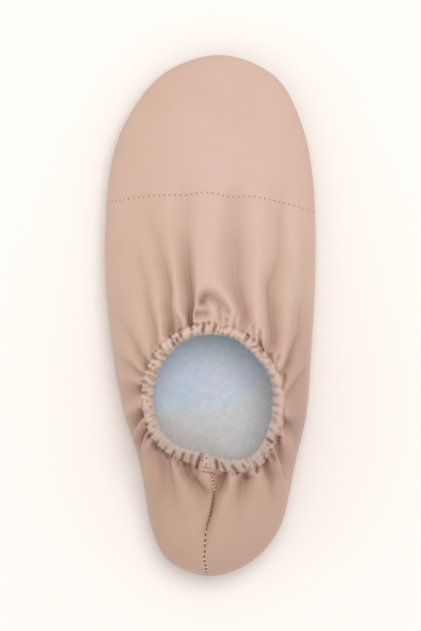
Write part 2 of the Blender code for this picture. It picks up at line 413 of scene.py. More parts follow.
FOOTBED_GREY = (0.860, 0.830, 0.810)
FOOTBED_REAR_SHADE = (0.880, 0.840, 0.805)    # painted shade: how much darker it is made at the back of the opening
FOOTBED_FRONT_LIGHT = (0.860, 0.945, 1.000)   # painted bounce light: its lighter, bluer colour under the vamp

# Creases in the footbed's cloth.
FOOTBED_CREASES = [
    # from (mm)        to (mm)          height  width
    ((1.5, -28.9),     (17.6, -19.2),   0.80,   0.8),
    ((-1.9, -42.0),    (6.2, -39.8),    0.50,   0.8),
    ((-6.0, -33.0),    (3.0, -34.5),    -0.30,  1.2),
]


def crease(points, start, end, height, width):
    """Height of one straight crease at plan points in mm."""
    start = np.array(start)
    run = np.array(end) - start
    t = np.clip(((points - start) @ run) / (run @ run), 0, 1)
    off = np.linalg.norm(points - start - t[:, None] * run, axis=1)
    t = np.clip(t, CREASE_END, 1 - CREASE_END)
    return height * np.sin(math.pi * t) * np.exp(-((off / width) ** 2))


def make_footbed():
    """The pad with its rounded upper edge, a slow wave and its creases, bent to the sole."""
    mesh, upper, _ = flat_layer(INSOLE_INSET, SOLE_THICK + INSOLE_GAP, INSOLE_THICK)
    rounded(mesh, upper, INSOLE_EDGE, 4)
    cut_across(mesh, [LENGTH * (step / FOOTBED_BENDS - 0.5) for step in range(1, FOOTBED_BENDS)])
    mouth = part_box("collar_band")
    cut_across(mesh, np.arange(mouth[0].y, mouth[1].y, FOOTBED_CELL))
    cut_across(mesh, np.arange(mouth[0].x, mouth[1].x, FOOTBED_CELL), axis=0)
    place = places_of(mesh)
    x, y = place[:, 0] / MM, place[:, 1] / MM
    top = place[:, 2] > SOLE_THICK + INSOLE_GAP + INSOLE_THICK - HAIR
    # a slow wave, some 30 mm long, whose crests wander
    wave = WAVE_HEIGHT * np.sin(0.21 * x + 1.3 * np.sin(0.16 * y)) * np.sin(0.19 * y + 0.06 * x)
    creases = sum(crease(place[:, :2] / MM, *row) for row in FOOTBED_CREASES)
    place[:, 2] += top * MM * (wave + creases) + rise(place[:, 1])
    put_places(mesh, place)
    bmesh.ops.triangulate(mesh, faces=[f for f in mesh.faces if len(f.verts) > 4])
    return mesh


def maths(shader, operation, *terms):
    """The result of a Math node on its terms."""
    return node(shader, "ShaderNodeMath", dict(enumerate(terms)), operation=operation)["Value"]


def eased(shader, value, start, end):
    """A soft step of a value, from 0 at start to 1 at end."""
    inputs = {"Value": value, "From Min": start, "From Max": end}
    return node(shader, "ShaderNodeMapRange", inputs, interpolation_type="SMOOTHSTEP")["Result"]


def tinted(shader, colour, share, tone, blend="MULTIPLY"):
    """The colour, turned by the tone as far as the share says."""
    tone = tone if isinstance(tone, bpy.types.NodeSocket) else (*tone, 1)
    inputs = {"Factor": share, 6: colour, 7: tone}
    return node(shader, "ShaderNodeMix", inputs, data_type="RGBA", blend_type=blend)[2]


def footbed_finish():
    """Pale blue cloth, mottled and flecked, grey towards the heel, painted light under the vamp, painted
    shade at the back.
    """
    material, shader = blank("footbed cloth", Roughness=0.9, Sheen_Weight=0.25)
    where = node(shader, "ShaderNodeTexCoord")["Object"]
    apart = node(shader, "ShaderNodeSeparateXYZ", {"Vector": where})
    mottle = noise(shader, where, 55.0, 3.0)
    inward = maths(shader, "MAXIMUM", apart["X"], 0.0)
    lean = maths(shader, "MULTIPLY", maths(shader, "POWER", inward, 2.0), GREY_LEAN)
    drift = maths(shader, "MULTIPLY", mottle, GREY_DRIFT)
    heelward = maths(shader, "ADD", maths(shader, "SUBTRACT", apart["Y"], lean), drift)
    aslant = maths(shader, "MULTIPLY_ADD", apart["X"], REAR_SHADE_SLANT, apart["Y"])
    colour = ramp(shader, mottle, [(0.30, FOOTBED_BLUE), (0.62, FOOTBED_PALE)])
    # painted bounce light under the vamp
    colour = tinted(shader, colour, eased(shader, apart["Y"], *FRONT_LIGHT_RANGE), FOOTBED_FRONT_LIGHT, blend="MIX")
    colour = tinted(shader, colour, eased(shader, heelward, *GREY_RANGE), FOOTBED_GREY, blend="MIX")
    # painted shade at the back of the opening
    colour = tinted(shader, colour, eased(shader, aslant, *REAR_SHADE_RANGE), FOOTBED_REAR_SHADE)
    flecks = noise(shader, where, 330.0, 3.0, 0.65)
    colour = tinted(shader, colour, 1.0, ramp(shader, flecks, [(0.36, FLECK_TONE), (0.64, (1.0, 1.0, 1.0))]))
    dress(shader, colour, noise(shader, where, 1500.0, 3.0, 0.7), 0.5, 0.12 * MM)
    return material


footbed = add_piece("footbed", make_footbed(), [footbed_finish()])
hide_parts("insole")


# Upper
# One thin shell of two-way stretch cloth with its lining, 1.2 mm together, cut as a toe panel and a body
# that closes at the back of the heel. Its lower edge turns under and is glued to the sole; its upper edge
# is gathered into the elastic casing, which draws the vamp and the sides into folds.

WALL = 1.2 * MM
TUCK_DEPTH = 5.0 * MM
TUCK_TURN = math.radians(70)
INSTEP_HEIGHT = 47 * MM
HEEL_HEIGHT = 38 * MM
COLLAR_CENTRE = np.array([2.0 * MM, LENGTH * (0.345 - 0.5)])

# widest: height of the widest line, roof: height of the middle of the roof,
# shoulder: how far in from the outline the roof is still rounding over, along: lengths from the heel.
SECTIONS = [
    # place         along  widest     roof                   shoulder
    ("heel back",   0.00,  16.0 * MM,  1.00 * HEEL_HEIGHT,   30 * MM),
    ("heel",        0.10,  15.5 * MM,  1.08 * HEEL_HEIGHT,   31 * MM),
    ("ankle",       0.21,  15.0 * MM,  0.98 * INSTEP_HEIGHT, 33 * MM),
    ("opening",     0.35,  14.0 * MM,  1.05 * INSTEP_HEIGHT, 35 * MM),
    ("instep",      0.49,  13.5 * MM,  0.93 * INSTEP_HEIGHT, 39 * MM),
    ("waist",       0.60,  13.0 * MM,  0.78 * INSTEP_HEIGHT, 40 * MM),
    ("ball",        0.71,  12.5 * MM,  0.67 * INSTEP_HEIGHT, 38 * MM),
    ("toes",        0.83,  13.0 * MM,  0.56 * INSTEP_HEIGHT, 33 * MM),
    ("toe end",     0.94,  14.5 * MM,  0.49 * INSTEP_HEIGHT, 28 * MM),
    ("toe tip",     1.00,  15.5 * MM,  0.46 * INSTEP_HEIGHT, 27 * MM),
]

# Run of the casing's core around the opening, at clock angles from the inner side.
COLLAR = [
    # angle  radius  height (mm)
    (0,      29.6,   43.0),
    (24,     29.6,   43.2),
    (47,     29.8,   43.8),
    (70,     31.2,   44.6),
    (92,     31.3,   45.0),
    (115,    31.2,   44.6),
    (140,    30.4,   43.6),
    (165,    30.3,   43.0),
    (190,    30.1,   42.8),
    (208,    31.0,   42.8),
    (230,    30.2,   43.0),
    (254,    28.9,   43.6),
    (270,    29.7,   44.0),
    (288,    33.0,   43.8),
    (304,    34.8,   43.2),
    (320,    33.0,   42.8),
    (340,    30.7,   42.8),
]

# Edges of the casing, out from its core, how high the cloth stands beside it, over the core, and how far the
# casing's pleats run on in that cloth (mm).
CASING = [
    # angle  outer  inner  cloth  pleats
    (0,      2.0,   -3.6,  1.1,   1.5),
    (15,     2.0,   -3.4,  1.1,   1.5),
    (30,     1.2,   -3.6,  1.1,   1.5),
    (45,     1.2,   -3.9,  1.0,   1.8),
    (60,     1.2,   -4.1,  1.0,   2.0),
    (75,     1.6,   -3.5,  0.9,   2.0),
    (91,     2.0,   -3.4,  0.8,   1.8),
    (105,    2.7,   -2.8,  0.8,   1.6),
    (125,    3.7,   -2.5,  1.0,   1.6),
    (145,    3.7,   -2.8,  1.2,   1.6),
    (165,    3.7,   -3.0,  1.4,   1.8),
    (185,    3.5,   -2.8,  1.7,   2.5),
    (215,    3.3,   -3.0,  1.9,   4.0),
    (245,    3.6,   -3.4,  1.9,   4.5),
    (275,    3.7,   -3.7,  1.9,   4.0),
    (305,    2.9,   -4.0,  1.8,   4.5),
    (335,    2.4,   -4.0,  1.5,   2.5),
]

# How the cloth passes under the casing: its distance out, over the casing's outer edge, and the share of its
# way down from beside the casing to UNDER_BAND below the core.
DIP = [
    # out (mm)  share
    (-3.1,      1.00),
    (-2.7,      1.00),
    (-1.9,      0.80),
    (-1.1,      0.34),
    (-0.4,      0.05),
    (0.3,       0.00),
    (1.2,       0.00),
]
UNDER_BAND = 2.9

# The drape: the crests and valleys that run from the collar out over the cloth, in turn round the collar
# from the inner side; the cloth passes smoothly from each to the next. Each has its points near the collar,
# (clock angle, mm out from the casing's core, height in mm), and those farther off, (x, y, height) in mm.
DRAPE = [
    ("inner side valley",
     [(-2, 2, -1.0), (4, 5, -1.8), (6.5, 7, -2.0), (10, 9, -1.8), (14, 12, -1.4), (18, 17, 0)], []),
    ("waist crest",
     [(5, 2, 0.2), (10, 5, 0.8), (15, 7, 1.5), (18.5, 9, 1.7), (21.5, 12, 1.5), (25, 15, 1.2),
      (28.5, 19, 0.7), (33, 26, 0)], []),
    ("waist valley",
     [(19.5, 1.5, -2.2), (19.5, 4, -2.6), (22.5, 7, -3.0), (24.5, 9, -3.2), (29, 12, -2.8),
      (32.5, 15, -2.3), (36, 19, -1.9)],
     [(41.5, 1.0, -1.6), (43.0, 6.0, -1.0), (44.0, 14.0, -0.5), (45.5, 26.0, 0.0)]),
    ("side crest",
     [(24, 2.6, 0.3), (28, 5, 0.6), (32, 7, 0.9), (36, 9, 1.3), (38.5, 12, 1.6), (42, 15, 1.7),
      (46.5, 19, 1.7)],
     [(37.0, 6.0, 1.8), (38.0, 12.0, 2.0), (39.0, 18.0, 2.0), (40.0, 26.0, 2.0), (40.0, 34.0, 1.8),
      (40.0, 42.0, 1.5), (42.0, 54.0, 0.8), (43.0, 66.0, 0.0)]),
    ("side valley",
     [(37.5, 2, -3.4), (40, 4, -3.8), (41.3, 7, -4.3), (43, 9, -4.6), (47.5, 12, -5.1), (52, 15, -5.2),
      (56.3, 19, -5.2)],
     [(28.5, 12.0, -4.7), (30.0, 18.0, -3.5), (32.5, 26.0, -2.4), (33.0, 34.0, -2.1), (33.0, 42.0, -1.8),
      (33.5, 52.0, -0.9), (34.0, 64.0, 0.0)]),
    ("inner crest",
     [(54, 2, 0.2), (55.5, 4.5, 0.8), (57.5, 7, 1.1), (61.5, 9, 1.3), (64, 12, 1.4), (65.5, 15, 1.5),
      (68, 19, 1.7)],
     [(21.3, 18.0, 2.0), (22.0, 26.0, 2.0), (23.0, 34.0, 1.8), (23.3, 42.0, 1.6), (23.8, 52.0, 1.3),
      (24.0, 62.0, 0.5), (24.0, 76.0, 0.0)]),
    ("inner valley",
     [(66, 2, -3.0), (67.5, 4.5, -3.9), (68.5, 8, -4.7), (71, 12, -5.1), (74.5, 15, -5.3), (77, 19, -5.4)],
     [(12.0, 18.0, -5.1), (12.0, 26.0, -4.8), (11.4, 34.0, -4.4), (11.2, 42.0, -3.2), (11.4, 52.0, -2.6),
      (12.0, 62.0, -0.8), (12.0, 76.0, 0.0)]),
    ("plateau crest",
     [(78.5, 3, 0), (79, 8, 0.2), (82, 12, 0.3), (86, 16, 0.4)],
     [(0.5, 18.0, 0.6), (-1.0, 26.0, 0.7), (-0.5, 34.0, 0.7), (0.5, 42.0, 0.6), (3.0, 52.0, 0.5),
      (3.5, 66.0, 0.1), (3.5, 80.0, 0.0)]),
    ("plateau edge",
     [(104.5, 2.5, -0.6), (105.4, 5, -0.6), (104.0, 8, -0.5), (101.6, 12, -0.4)],
     [(-6.2, 18.0, -0.3), (-6.6, 26.0, -0.3), (-6.4, 34.0, -0.2), (-5.5, 42.0, 0.1), (-3.5, 52.0, 0.2),
      (-3.0, 66.0, 0.0)]),
    ("middle valley",
     [(107.3, 2.7, -5.4), (108.3, 4, -6.8), (107.8, 7, -7.4), (105.3, 11, -6.9), (104, 15, -6.2)],
     [(-10.4, 18.0, -5.6), (-11.0, 26.0, -4.6), (-11.6, 34.0, -3.5), (-12.0, 42.0, -2.2),
      (-11.4, 52.0, -1.9), (-11.0, 62.0, -0.6), (-11.0, 76.0, 0.0)]),
    ("middle crest",
     [(111.5, 2.7, -0.2), (112, 5, 0), (111.8, 7, 0.2), (112.5, 9, 0.3), (113.3, 12, 0.3),
      (112, 15.5, 0.3)],
     [(-16.0, 14.0, 0.3), (-17.0, 22.0, 0.4), (-18.4, 32.0, 0.5), (-20.0, 42.0, 0.6), (-21.0, 52.0, 0.6),
      (-21.0, 62.0, 0.3), (-21.0, 76.0, 0.0)]),
    ("outer valley",
     [(126.3, 2, -4.2), (126, 4, -5.6), (124.5, 5.5, -6.2), (123.4, 7, -6.6), (121.5, 9, -5.8),
      (119.5, 12, -4.5), (118, 15.5, -4.2)],
     [(-19.4, 12.0, -3.8), (-20.4, 18.0, -3.2), (-22.8, 26.0, -2.4), (-24.6, 34.0, -1.6),
      (-28.0, 43.0, -0.8), (-30.0, 54.0, -0.3), (-31.0, 66.0, 0.0)]),
    ("outer crest",
     [(131, 2.5, 0), (132, 5, 0.3), (130.5, 7, 0.5), (129, 9, 0.6), (125.5, 12, 0.5), (124, 15, 0.5),
      (121.5, 20, 0.5)],
     [(-26.2, 18.0, 0.5), (-29.5, 26.0, 0.5), (-33.0, 34.0, 0.3), (-36.0, 46.0, 0.0)]),
    ("outer side valley",
     [(142, 3.5, -1.8), (141, 5, -2.0), (138, 7, -2.4), (134.5, 9, -2.6), (132.5, 12, -2.7),
      (130, 15, -2.5), (128, 19, -2.3)],
     [(-30.5, 15.0, -1.2), (-32.0, 24.0, -0.5), (-34.0, 34.0, 0.0)]),
    ("outer waist crest",
     [(147.5, 3.5, 0.2), (148, 5, 0.4), (146, 7, 0.6), (144, 9, 0.8), (140, 12, 1.0), (139, 15, 1.0),
      (134.5, 19, 1.1)],
     [(-38.0, 12.0, 0.6), (-40.0, 26.0, 0.2), (-41.0, 38.0, 0.0)]),
    ("outer waist valley",
     [(155.5, 3.5, -2.4), (155, 5, -2.5), (153.5, 7, -2.3), (151.5, 9, -2.4), (149.5, 12, -2.5),
      (147, 15, -2.3), (145, 19, -2.0), (141, 26, -1.0), (138, 34, 0)], []),
    ("outer side crest",
     [(161, 3.5, 0.4), (160, 5, 0.5), (158, 7, 0.7), (156.5, 9, 0.8), (155, 12, 0.8), (153, 16, 0.7),
      (150, 24, 0)], []),
    ("outer side fold",
     [(163.5, 3.5, -1.5), (163, 5, -2.0), (162.5, 7, -2.1), (161.5, 9, -2.1), (160, 12, -1.8),
      (158, 17, -0.9), (156, 24, 0)], []),
    ("outer ankle crest",
     [(169, 3.5, 0.2), (169, 5, 0.4), (168.5, 7, 0.6), (167.5, 9, 0.7), (167.5, 12, 0.7),
      (167, 19, 0)], []),
    ("outer ankle valley",
     [(173, 3.5, -2.8), (173.5, 5, -3.9), (174, 7, -4.7), (176.5, 9, -4.0), (177, 12, -2.2),
      (176, 18, 0)], []),
    ("outer heel crest",
     [(185, 3.5, 0.6), (187, 5, 1.3), (189, 7, 1.7), (191, 9, 1.7), (194, 12, 1.0), (198, 18, 0)], []),
    ("outer heel valley",
     [(192, 3.5, -4.9), (193.8, 5, -5.8), (196, 7, -5.6), (198.5, 9, -4.4), (201, 12, -2.5),
      (204, 17, 0)], []),
    ("outer heel ridge",
     [(197.5, 3.5, 1.2), (200, 5, 1.8), (203.8, 7, 2.3), (207, 9, 2.1), (212, 12, 1.3), (217, 16, 0.7),
      (221, 22, 0)], []),
    ("outer heel slit",
     [(203, 3.7, -5.6), (205.5, 5, -6.6), (209.6, 7, -6.4), (212.8, 9, -6.0), (218, 12, -5.0),
      (222, 15, -3.9), (226, 19, -1.8), (230, 25, 0)], []),
    ("outer heel roll",
     [(207.5, 3.5, 0.6), (209, 5, 1.5), (212.6, 7, 2.1), (215.5, 9, 2.3), (220, 12, 1.9), (224.5, 15, 1.4),
      (230, 19, 0.8), (234, 26, 0)], []),
    ("back outer valley",
     [(218.5, 2.5, -4.0), (219.5, 5, -5.5), (222.5, 7, -6.3), (226, 9.5, -5.9), (231, 13, -4.9),
      (234, 15, -4.1), (238, 19, -2.8), (242, 25, -1.2), (245, 32, 0)], []),
    ("back outer floor",
     [(229, 3, -3.6), (229.5, 5, -5.0), (231.5, 7, -5.6), (235, 9.5, -4.8), (239, 13, -3.8),
      (241.5, 15, -3.2), (245, 19, -2.2), (248, 25, -1.0), (250, 32, 0)], []),
    ("back outer crest",
     [(237, 3, -1.2), (238, 5, -0.6), (239.5, 7, 0.5), (242.5, 9, 1.1), (246, 12, 1.2), (250, 15, 1.2),
      (253, 19, 1.1), (256, 26, 0.6), (259, 36, 0)], []),
    ("facet outer arm",
     [(245.5, 3, -3.4), (245.5, 4.8, -4.2), (248.3, 7, -5.8), (250, 9, -6.2), (257, 12, -5.8),
      (261.5, 15, -4.9), (264, 19, -3.5), (265.3, 25, -1.8), (264.5, 34, -0.7), (264, 44, 0)], []),
    ("facet",
     [(262, 4.5, 0.4), (265, 7, 0.5), (265, 9, 0.1), (266.5, 12, -0.8), (267.5, 15, -2.8),
      (267.3, 19, -2.6), (266.6, 25, -2.0), (265.7, 34, -1.0), (265.2, 44, 0)], []),
    ("facet inner arm",
     [(279.5, 3.5, -3.8), (278, 5, -5.0), (276, 7, -6.9), (274.5, 9, -6.6), (272.5, 12, -5.4),
      (270.3, 15, -4.2), (269.2, 19, -3.6), (268.0, 25, -2.8), (266.8, 34, -1.6), (266.2, 44, 0)], []),
    ("back inner ridge",
     [(281, 5, 0.5), (280, 7, 0.8), (280, 9, 1.1), (279, 12, 1.2), (277, 15, 1.2), (275, 19, 1.1),
      (273.5, 25, 0.8), (272, 34, 0.4), (271, 44, 0)], []),
    ("back inner valley",
     [(288.5, 3.3, -2.2), (291, 5, -3.6), (290.8, 7, -5.2), (289, 9, -5.4), (287, 12, -4.2),
      (285.5, 15, -3.2), (284, 19, -2.1), (282, 26, -0.8), (280, 34, 0)], []),
    ("inner heel ridge",
     [(296.5, 4, 0.4), (299, 7, 0.7), (297.5, 9, 1.0), (296.5, 12, 1.0), (295, 15, 0.8), (293, 20, 0.5),
      (290, 28, 0)], []),
    ("inner heel valley",
     [(309.5, 3, -5.4), (309.5, 5, -6.8), (309, 7, -6.8), (308, 9, -5.6), (306.5, 12, -3.8),
      (303, 16, -2.0), (299, 24, 0)], []),
    ("inner heel roll",
     [(317.5, 5, 0.9), (315, 7, 1.8), (312.5, 9, 2.2), (310, 12, 2.1), (307.5, 15, 1.6), (305, 20, 0.9),
      (301, 28, 0)], []),
    ("inner ankle valley",
     [(325.5, 2.5, -5.2), (320.8, 4, -6.6), (318, 6, -6.4), (315.8, 8.5, -4.6), (312.5, 12, -2.3),
      (311, 16, 0)], []),
    ("inner ankle crest",
     [(329.5, 3, 0.6), (327.5, 5, 1.7), (325, 7, 2.0), (322.5, 9, 1.8), (320.5, 13, 1.0),
      (319, 18, 0)], []),
    ("inner ankle fold",
     [(340, 2.5, -2.4), (340, 5, -3.6), (338.5, 7, -2.5), (335, 10, -1.2), (333, 15, 0)], []),
    ("inner side crest",
     [(345.5, 3, 0.9), (346, 5, 1.7), (347, 7, 2.0), (348.5, 9, 1.7), (350, 13, 0.7), (352, 18, 0)], []),
]

# The short folds, slits, pockets and lobes of the casing and of the cloth beside it.
# height and width: in mm, a dent's height negative, end: its strength at the path's last point,
# path: (clock angle, mm out from the casing's core).
FOLDS = [
    # height width end   path
    # the inner side and its waist
    (0.5,   1.2,  1.0,  [(333, 1), (345, 1), (356, 1), (366, 0.8), (380, 0), (390, -1.9), (395, -1.4)]),
    (-1.6,  0.7,  1.0,  [(7, 1.6), (9, 1.7), (13, 3), (15, 3.4), (18, 3.8)]),
    (-1.4,  0.6,  1.0,  [(22, 0.9), (26, 1.4), (30, 2.1)]),
    (0.6,   0.6,  1.0,  [(27, 1.2), (33, 2.4), (36, 4)]),
    (-1.4,  0.8,  1.0,  [(31.5, 3.8), (33, 5)]),
    (-1.2,  0.6,  1.0,  [(29, -0.5), (30.5, -0.8)]),
    (-1.6,  0.8,  1.0,  [(33, 0.8), (36, 1.3), (38, 2)]),
    (-1.2,  0.6,  1.0,  [(9.5, -1.9), (12.5, -2.4)]),
    (-1.2,  0.6,  1.0,  [(26, -3.2), (29, -3.6)]),
    (-1.4,  0.7,  1.0,  [(41, -0.8), (43, -1.3)]),
    (-4.0,  0.9,  0.5,  [(45, 0.4), (48, 1.3), (51, 2.5), (53.8, 4.2), (55.5, 6.5)]),
    (0.7,   1.2,  1.0,  [(45, 2), (48, 4), (51, 6)]),
    (-1.2,  0.6,  1.0,  [(50.5, 0), (52, -1.2), (54, -1.8)]),
    (-1.5,  0.7,  1.0,  [(55.5, 0.8), (56.5, 1.6)]),
    (-1.4,  0.8,  1.0,  [(58, 2.5), (60, 4), (62, 5.5)]),
    (0.6,   0.9,  1.0,  [(57, -1), (59, -2), (62, -3.5)]),
    (-2.0,  0.8,  1.0,  [(61, 0.5), (63, 0.8)]),
    (-1.3,  0.6,  1.0,  [(61.5, -0.6), (61.7, -2)]),
    (0.6,   0.9,  1.0,  [(65, 0.5), (67, -1), (71, -1.5)]),
    # the vamp's plateau
    (-1.6,  1.1,  0.4,  [(74.5, 1.6), (75, 4), (75, 7)]),
    (-0.8,  0.8,  1.0,  [(81.5, 3.9), (81.8, 4.6)]),
    (0.6,   0.9,  1.0,  [(84.5, 3), (84.5, 7)]),
    (-1.5,  0.6,  1.0,  [(80, 1.3), (83, 0.6), (85, 0.3)]),
    (-6.5,  2.1,  0.5,  [(97.5, 12.5), (95, 14.8), (91.5, 14.2), (87.5, 12.2), (84, 10), (82, 8.3)]),
    (1.0,   1.5,  0.6,  [(96, 11.5), (92, 10.5), (89, 8), (90, 5)]),
    (-4.4,  1.7,  0.8,  [(102, 7.5), (99, 7.5), (96.5, 7)]),
    (-2.2,  1.3,  0.9,  [(87, 9.5), (86.5, 7), (86, 4)]),
    (-1.0,  1.3,  1.0,  [(82, 4), (81.6, 5)]),
    (-2.2,  0.7,  1.0,  [(89.5, 1), (91, 0), (91, -1.3)]),
    (-2.6,  0.7,  1.0,  [(98.7, 2), (99.5, 1), (100.5, -1)]),
    (0.5,   0.6,  1.0,  [(104, 9), (106, 5)]),
    # the outer side
    (-1.3,  0.7,  1.0,  [(110, 3.8), (112, 3.6)]),
    (0.7,   0.8,  1.0,  [(110, 7), (113, 4.5), (114, 3.5)]),
    (-1.8,  0.9,  0.4,  [(117.2, 2.8), (116.5, 5), (115.5, 7), (115.3, 9)]),
    (-1.6,  0.7,  1.0,  [(116, 3), (118.5, 2.5), (119.3, 0.5)]),
    (0.7,   0.8,  1.0,  [(119, 7), (122, 4.5)]),
    (0.7,   0.8,  1.0,  [(133, 3), (136, 1.8)]),
    (-1.8,  0.7,  1.0,  [(111, -1.8), (111.2, -2.4)]),
    (-1.1,  0.6,  1.0,  [(118, -2.3), (121, -2.3)]),
    (-2.0,  0.7,  1.0,  [(123.5, 0.6), (124, -2)]),
    (-1.2,  0.6,  1.0,  [(133, -1), (135, -0.9)]),
    (-2.0,  0.7,  1.0,  [(141, 1), (140.5, -0.5), (139.5, -2)]),
    (-0.9,  0.8,  1.0,  [(137.7, 3.4), (138.5, 2.3)]),
    (-1.8,  0.8,  1.0,  [(145.5, 3.8), (147.5, 2.2)]),
    (0.6,   0.9,  1.0,  [(143, 7), (147, 5.5), (149.5, 4.4)]),
    (-1.2,  0.8,  1.0,  [(150, 6), (154, 4.5), (156, 3.8), (157.3, 2)]),
    (0.5,   0.6,  1.0,  [(154.5, 0), (153, -1)]),
    (-1.5,  0.6,  1.0,  [(154, -1.8), (156, -0.6), (158, -1.5)]),
    (-1.3,  0.6,  1.0,  [(163.5, -1.8), (165, -1.4)]),
    (-1.0,  0.8,  1.0,  [(167.7, 3.4), (168, 1.9)]),
    (-1.5,  0.7,  1.0,  [(176.5, 2.6), (176, 0.8)]),
    (-1.0,  0.6,  1.0,  [(161.5, 1.3), (162, 0)]),
    (-1.0,  0.6,  1.0,  [(172, 1.5), (170.5, -0.2)]),
    (-1.4,  0.8,  1.0,  [(171, 3.8), (174, 4), (176, 3.8)]),
    # the outer side of the heel
    (0.5,   0.9,  1.0,  [(185, 2.9), (190, 3.1)]),
    (-2.4,  0.9,  1.0,  [(189.5, 4.4), (191.5, 3.6), (194, 4.2)]),
    (0.6,   0.8,  1.0,  [(196, 3.6), (200, 5.2), (204, 6.6)]),
    (1.6,   0.9,  0.5,  [(213, 3.4), (214.5, 5), (217, 7), (219, 9)]),
    (-4.2,  0.9,  0.4,  [(210.3, 3.4), (211.8, 5), (214, 7)]),
    (-1.8,  1.2,  1.0,  [(216.5, 4.2), (219, 4.2), (221.5, 4.4)]),
    (-0.8,  0.9,  1.0,  [(219.5, 4), (220.5, 5.5)]),
    (0.8,   0.6,  1.0,  [(219, 1.5), (223, 3.8)]),
    (-1.4,  0.9,  0.3,  [(226, 1.9), (228, 3), (231, 4.5)]),
    (-1.0,  1.0,  1.0,  [(232, 3.4), (232, 5)]),
    (-1.4,  1.1,  1.0,  [(240, 4), (241.5, 5)]),
    (0.7,   0.6,  1.0,  [(229, 2), (231, 3)]),
    (0.8,   0.8,  1.0,  [(228.5, 5), (230.5, 6.5)]),
    (-2.0,  0.7,  1.0,  [(233.5, 1.3), (234, 3)]),
    (-1.6,  0.7,  1.0,  [(236.5, 3), (238, 4)]),
    (-1.5,  0.8,  1.0,  [(241, 0.2), (242, 2), (243, 3.2), (246.5, 4.6)]),
    (-1.6,  1.1,  1.0,  [(248.5, -0.2), (249, 2), (249.5, 4)]),
    # the back of the heel, with the casing's join
    (-3.0,  0.8,  1.0,  [(255.5, 4.5), (255.4, 2), (256, -0.3), (257, -1.8)]),
    (0.6,   2.6,  1.0,  [(259.5, 1), (264, 1)]),
    (-1.4,  0.6,  1.0,  [(260.5, 5.4), (266, 5.2), (270.5, 5.4)]),
    (-2.4,  0.7,  1.0,  [(272, 2.4), (271.5, 0.5), (271, -1)]),
    (-1.6,  0.6,  1.0,  [(278, 2.4), (277, 1.3), (275.3, 0)]),
    (0.6,   0.7,  1.0,  [(280.5, 2), (279, 0)]),
    (-1.8,  0.7,  1.0,  [(283, 3.9), (284, 3.5)]),
    (-2.2,  0.7,  1.0,  [(286.5, 3.3), (286, 2), (284.5, 0.8), (284, 0.2)]),
    (0.6,   0.8,  1.0,  [(288, 4.5), (284, 7)]),
    # the inner side of the heel
    (-0.8,  0.8,  1.0,  [(290, 3.6), (289, 5)]),
    (-2.4,  0.8,  1.0,  [(294.8, 2.8), (292.5, 4), (291, 6)]),
    (-1.4,  0.6,  1.0,  [(293, 1.3), (292, -0.3)]),
    (0.5,   0.7,  1.0,  [(290.5, 0), (292, -2)]),
    (0.6,   0.8,  1.0,  [(298, 2.5), (298, 0)]),
    (0.7,   0.8,  1.0,  [(296, 5), (297, 3.5)]),
    (-2.4,  0.8,  1.0,  [(299.3, 4.4), (300, 3.4), (301, 2.4)]),
    (0.8,   0.9,  1.0,  [(301, 6), (304, 3.3)]),
    (-2.0,  0.7,  1.0,  [(309.3, 1.6), (308.5, 3)]),
    (0.7,   0.8,  1.0,  [(311, 4), (311, 2.8)]),
    (-3.0,  0.9,  1.0,  [(314.8, 3), (313, 5.2)]),
    (-3.0,  0.9,  0.2,  [(327.3, 2.1), (324, 3.2), (320.5, 4.6), (317.8, 6.6), (315.8, 9)]),
    (0.6,   0.8,  1.0,  [(319, 3.2), (317, 5), (314.5, 7)]),
    (-1.6,  0.8,  1.0,  [(326.5, 2), (324, 3.3)]),
    (-2.0,  0.7,  1.0,  [(321.7, 0.3), (321.3, -2.2)]),
    (-1.0,  0.6,  1.0,  [(296, -2), (298, -3.5)]),
    (-1.8,  0.9,  0.6,  [(343.5, 2.4), (340, 3.4), (340, 5.5)]),
    (0.5,   0.8,  1.0,  [(345, 4), (345.5, 7), (348, 10)]),
    (-1.2,  0.6,  1.0,  [(338, -2), (340, -2.4)]),
    (-1.2,  0.6,  1.0,  [(352.3, -2), (353.7, -3)]),
]

# The casing's small round dents and lobes.
# height and size: in mm, places: (clock angle, mm out from the casing's core).
SPOTS = [
    # height size  places
    (-1.5,  0.75,  [(2, -2.2), (20, -2.4), (68, 0.6), (95, 2.6), (104, 2.5), (109, 1.5), (126.2, 2.4),
                    (128, 0.6), (128, -0.7), (146, -1.7), (171, -2.1), (180, -1.6), (218, 2.2),
                    (316.4, 1.7), (328.5, 2.6)]),
    (-2.2,  0.80,  [(201.5, 3), (128, -0.8)]),
    (-1.1,  0.60,  [(67.5, -3.9), (72, -3.6), (78, -3), (83, -2.7), (87.3, -1.5), (93.5, -3.5),
                    (104.8, -2.2), (152.3, 1.2), (148.8, 3.6), (159, 3.8), (222.5, 4.4), (311, 0),
                    (301.5, 0.3), (318, -0.5), (329.5, -2.3), (345, -1.8), (360, -2.2), (334.5, 1.4),
                    (184.3, 0.8), (189, -0.7), (196.3, -0.8), (205.5, -0.4), (208, -1.3)]),
    (0.6,   0.90,  [(3.5, 2), (54, 2.5), (62, 2.4), (64, 5), (71, 3), (86.5, 1.4), (121, 2), (124, 2.4),
                    (129, 3), (140.5, 3.2), (149.5, 2.3), (154, 2.6), (161, 2.6), (164, 2.2), (174, 2.5),
                    (174, 0.5), (276, 2.7), (290, 2.8), (307, 1.4), (265, 4.8), (263, 3)]),
    (0.5,   0.70,  [(7, -1.9), (9.5, -3.1), (5.5, -3.9), (14.5, -3), (81, -2), (91, -3), (101, -2.6),
                    (343.5, -3.2), (350.3, -3.4), (327.5, -2.8), (182, 0.8), (187, -0.8), (194, -0.4),
                    (210.5, -1.5)]),
]

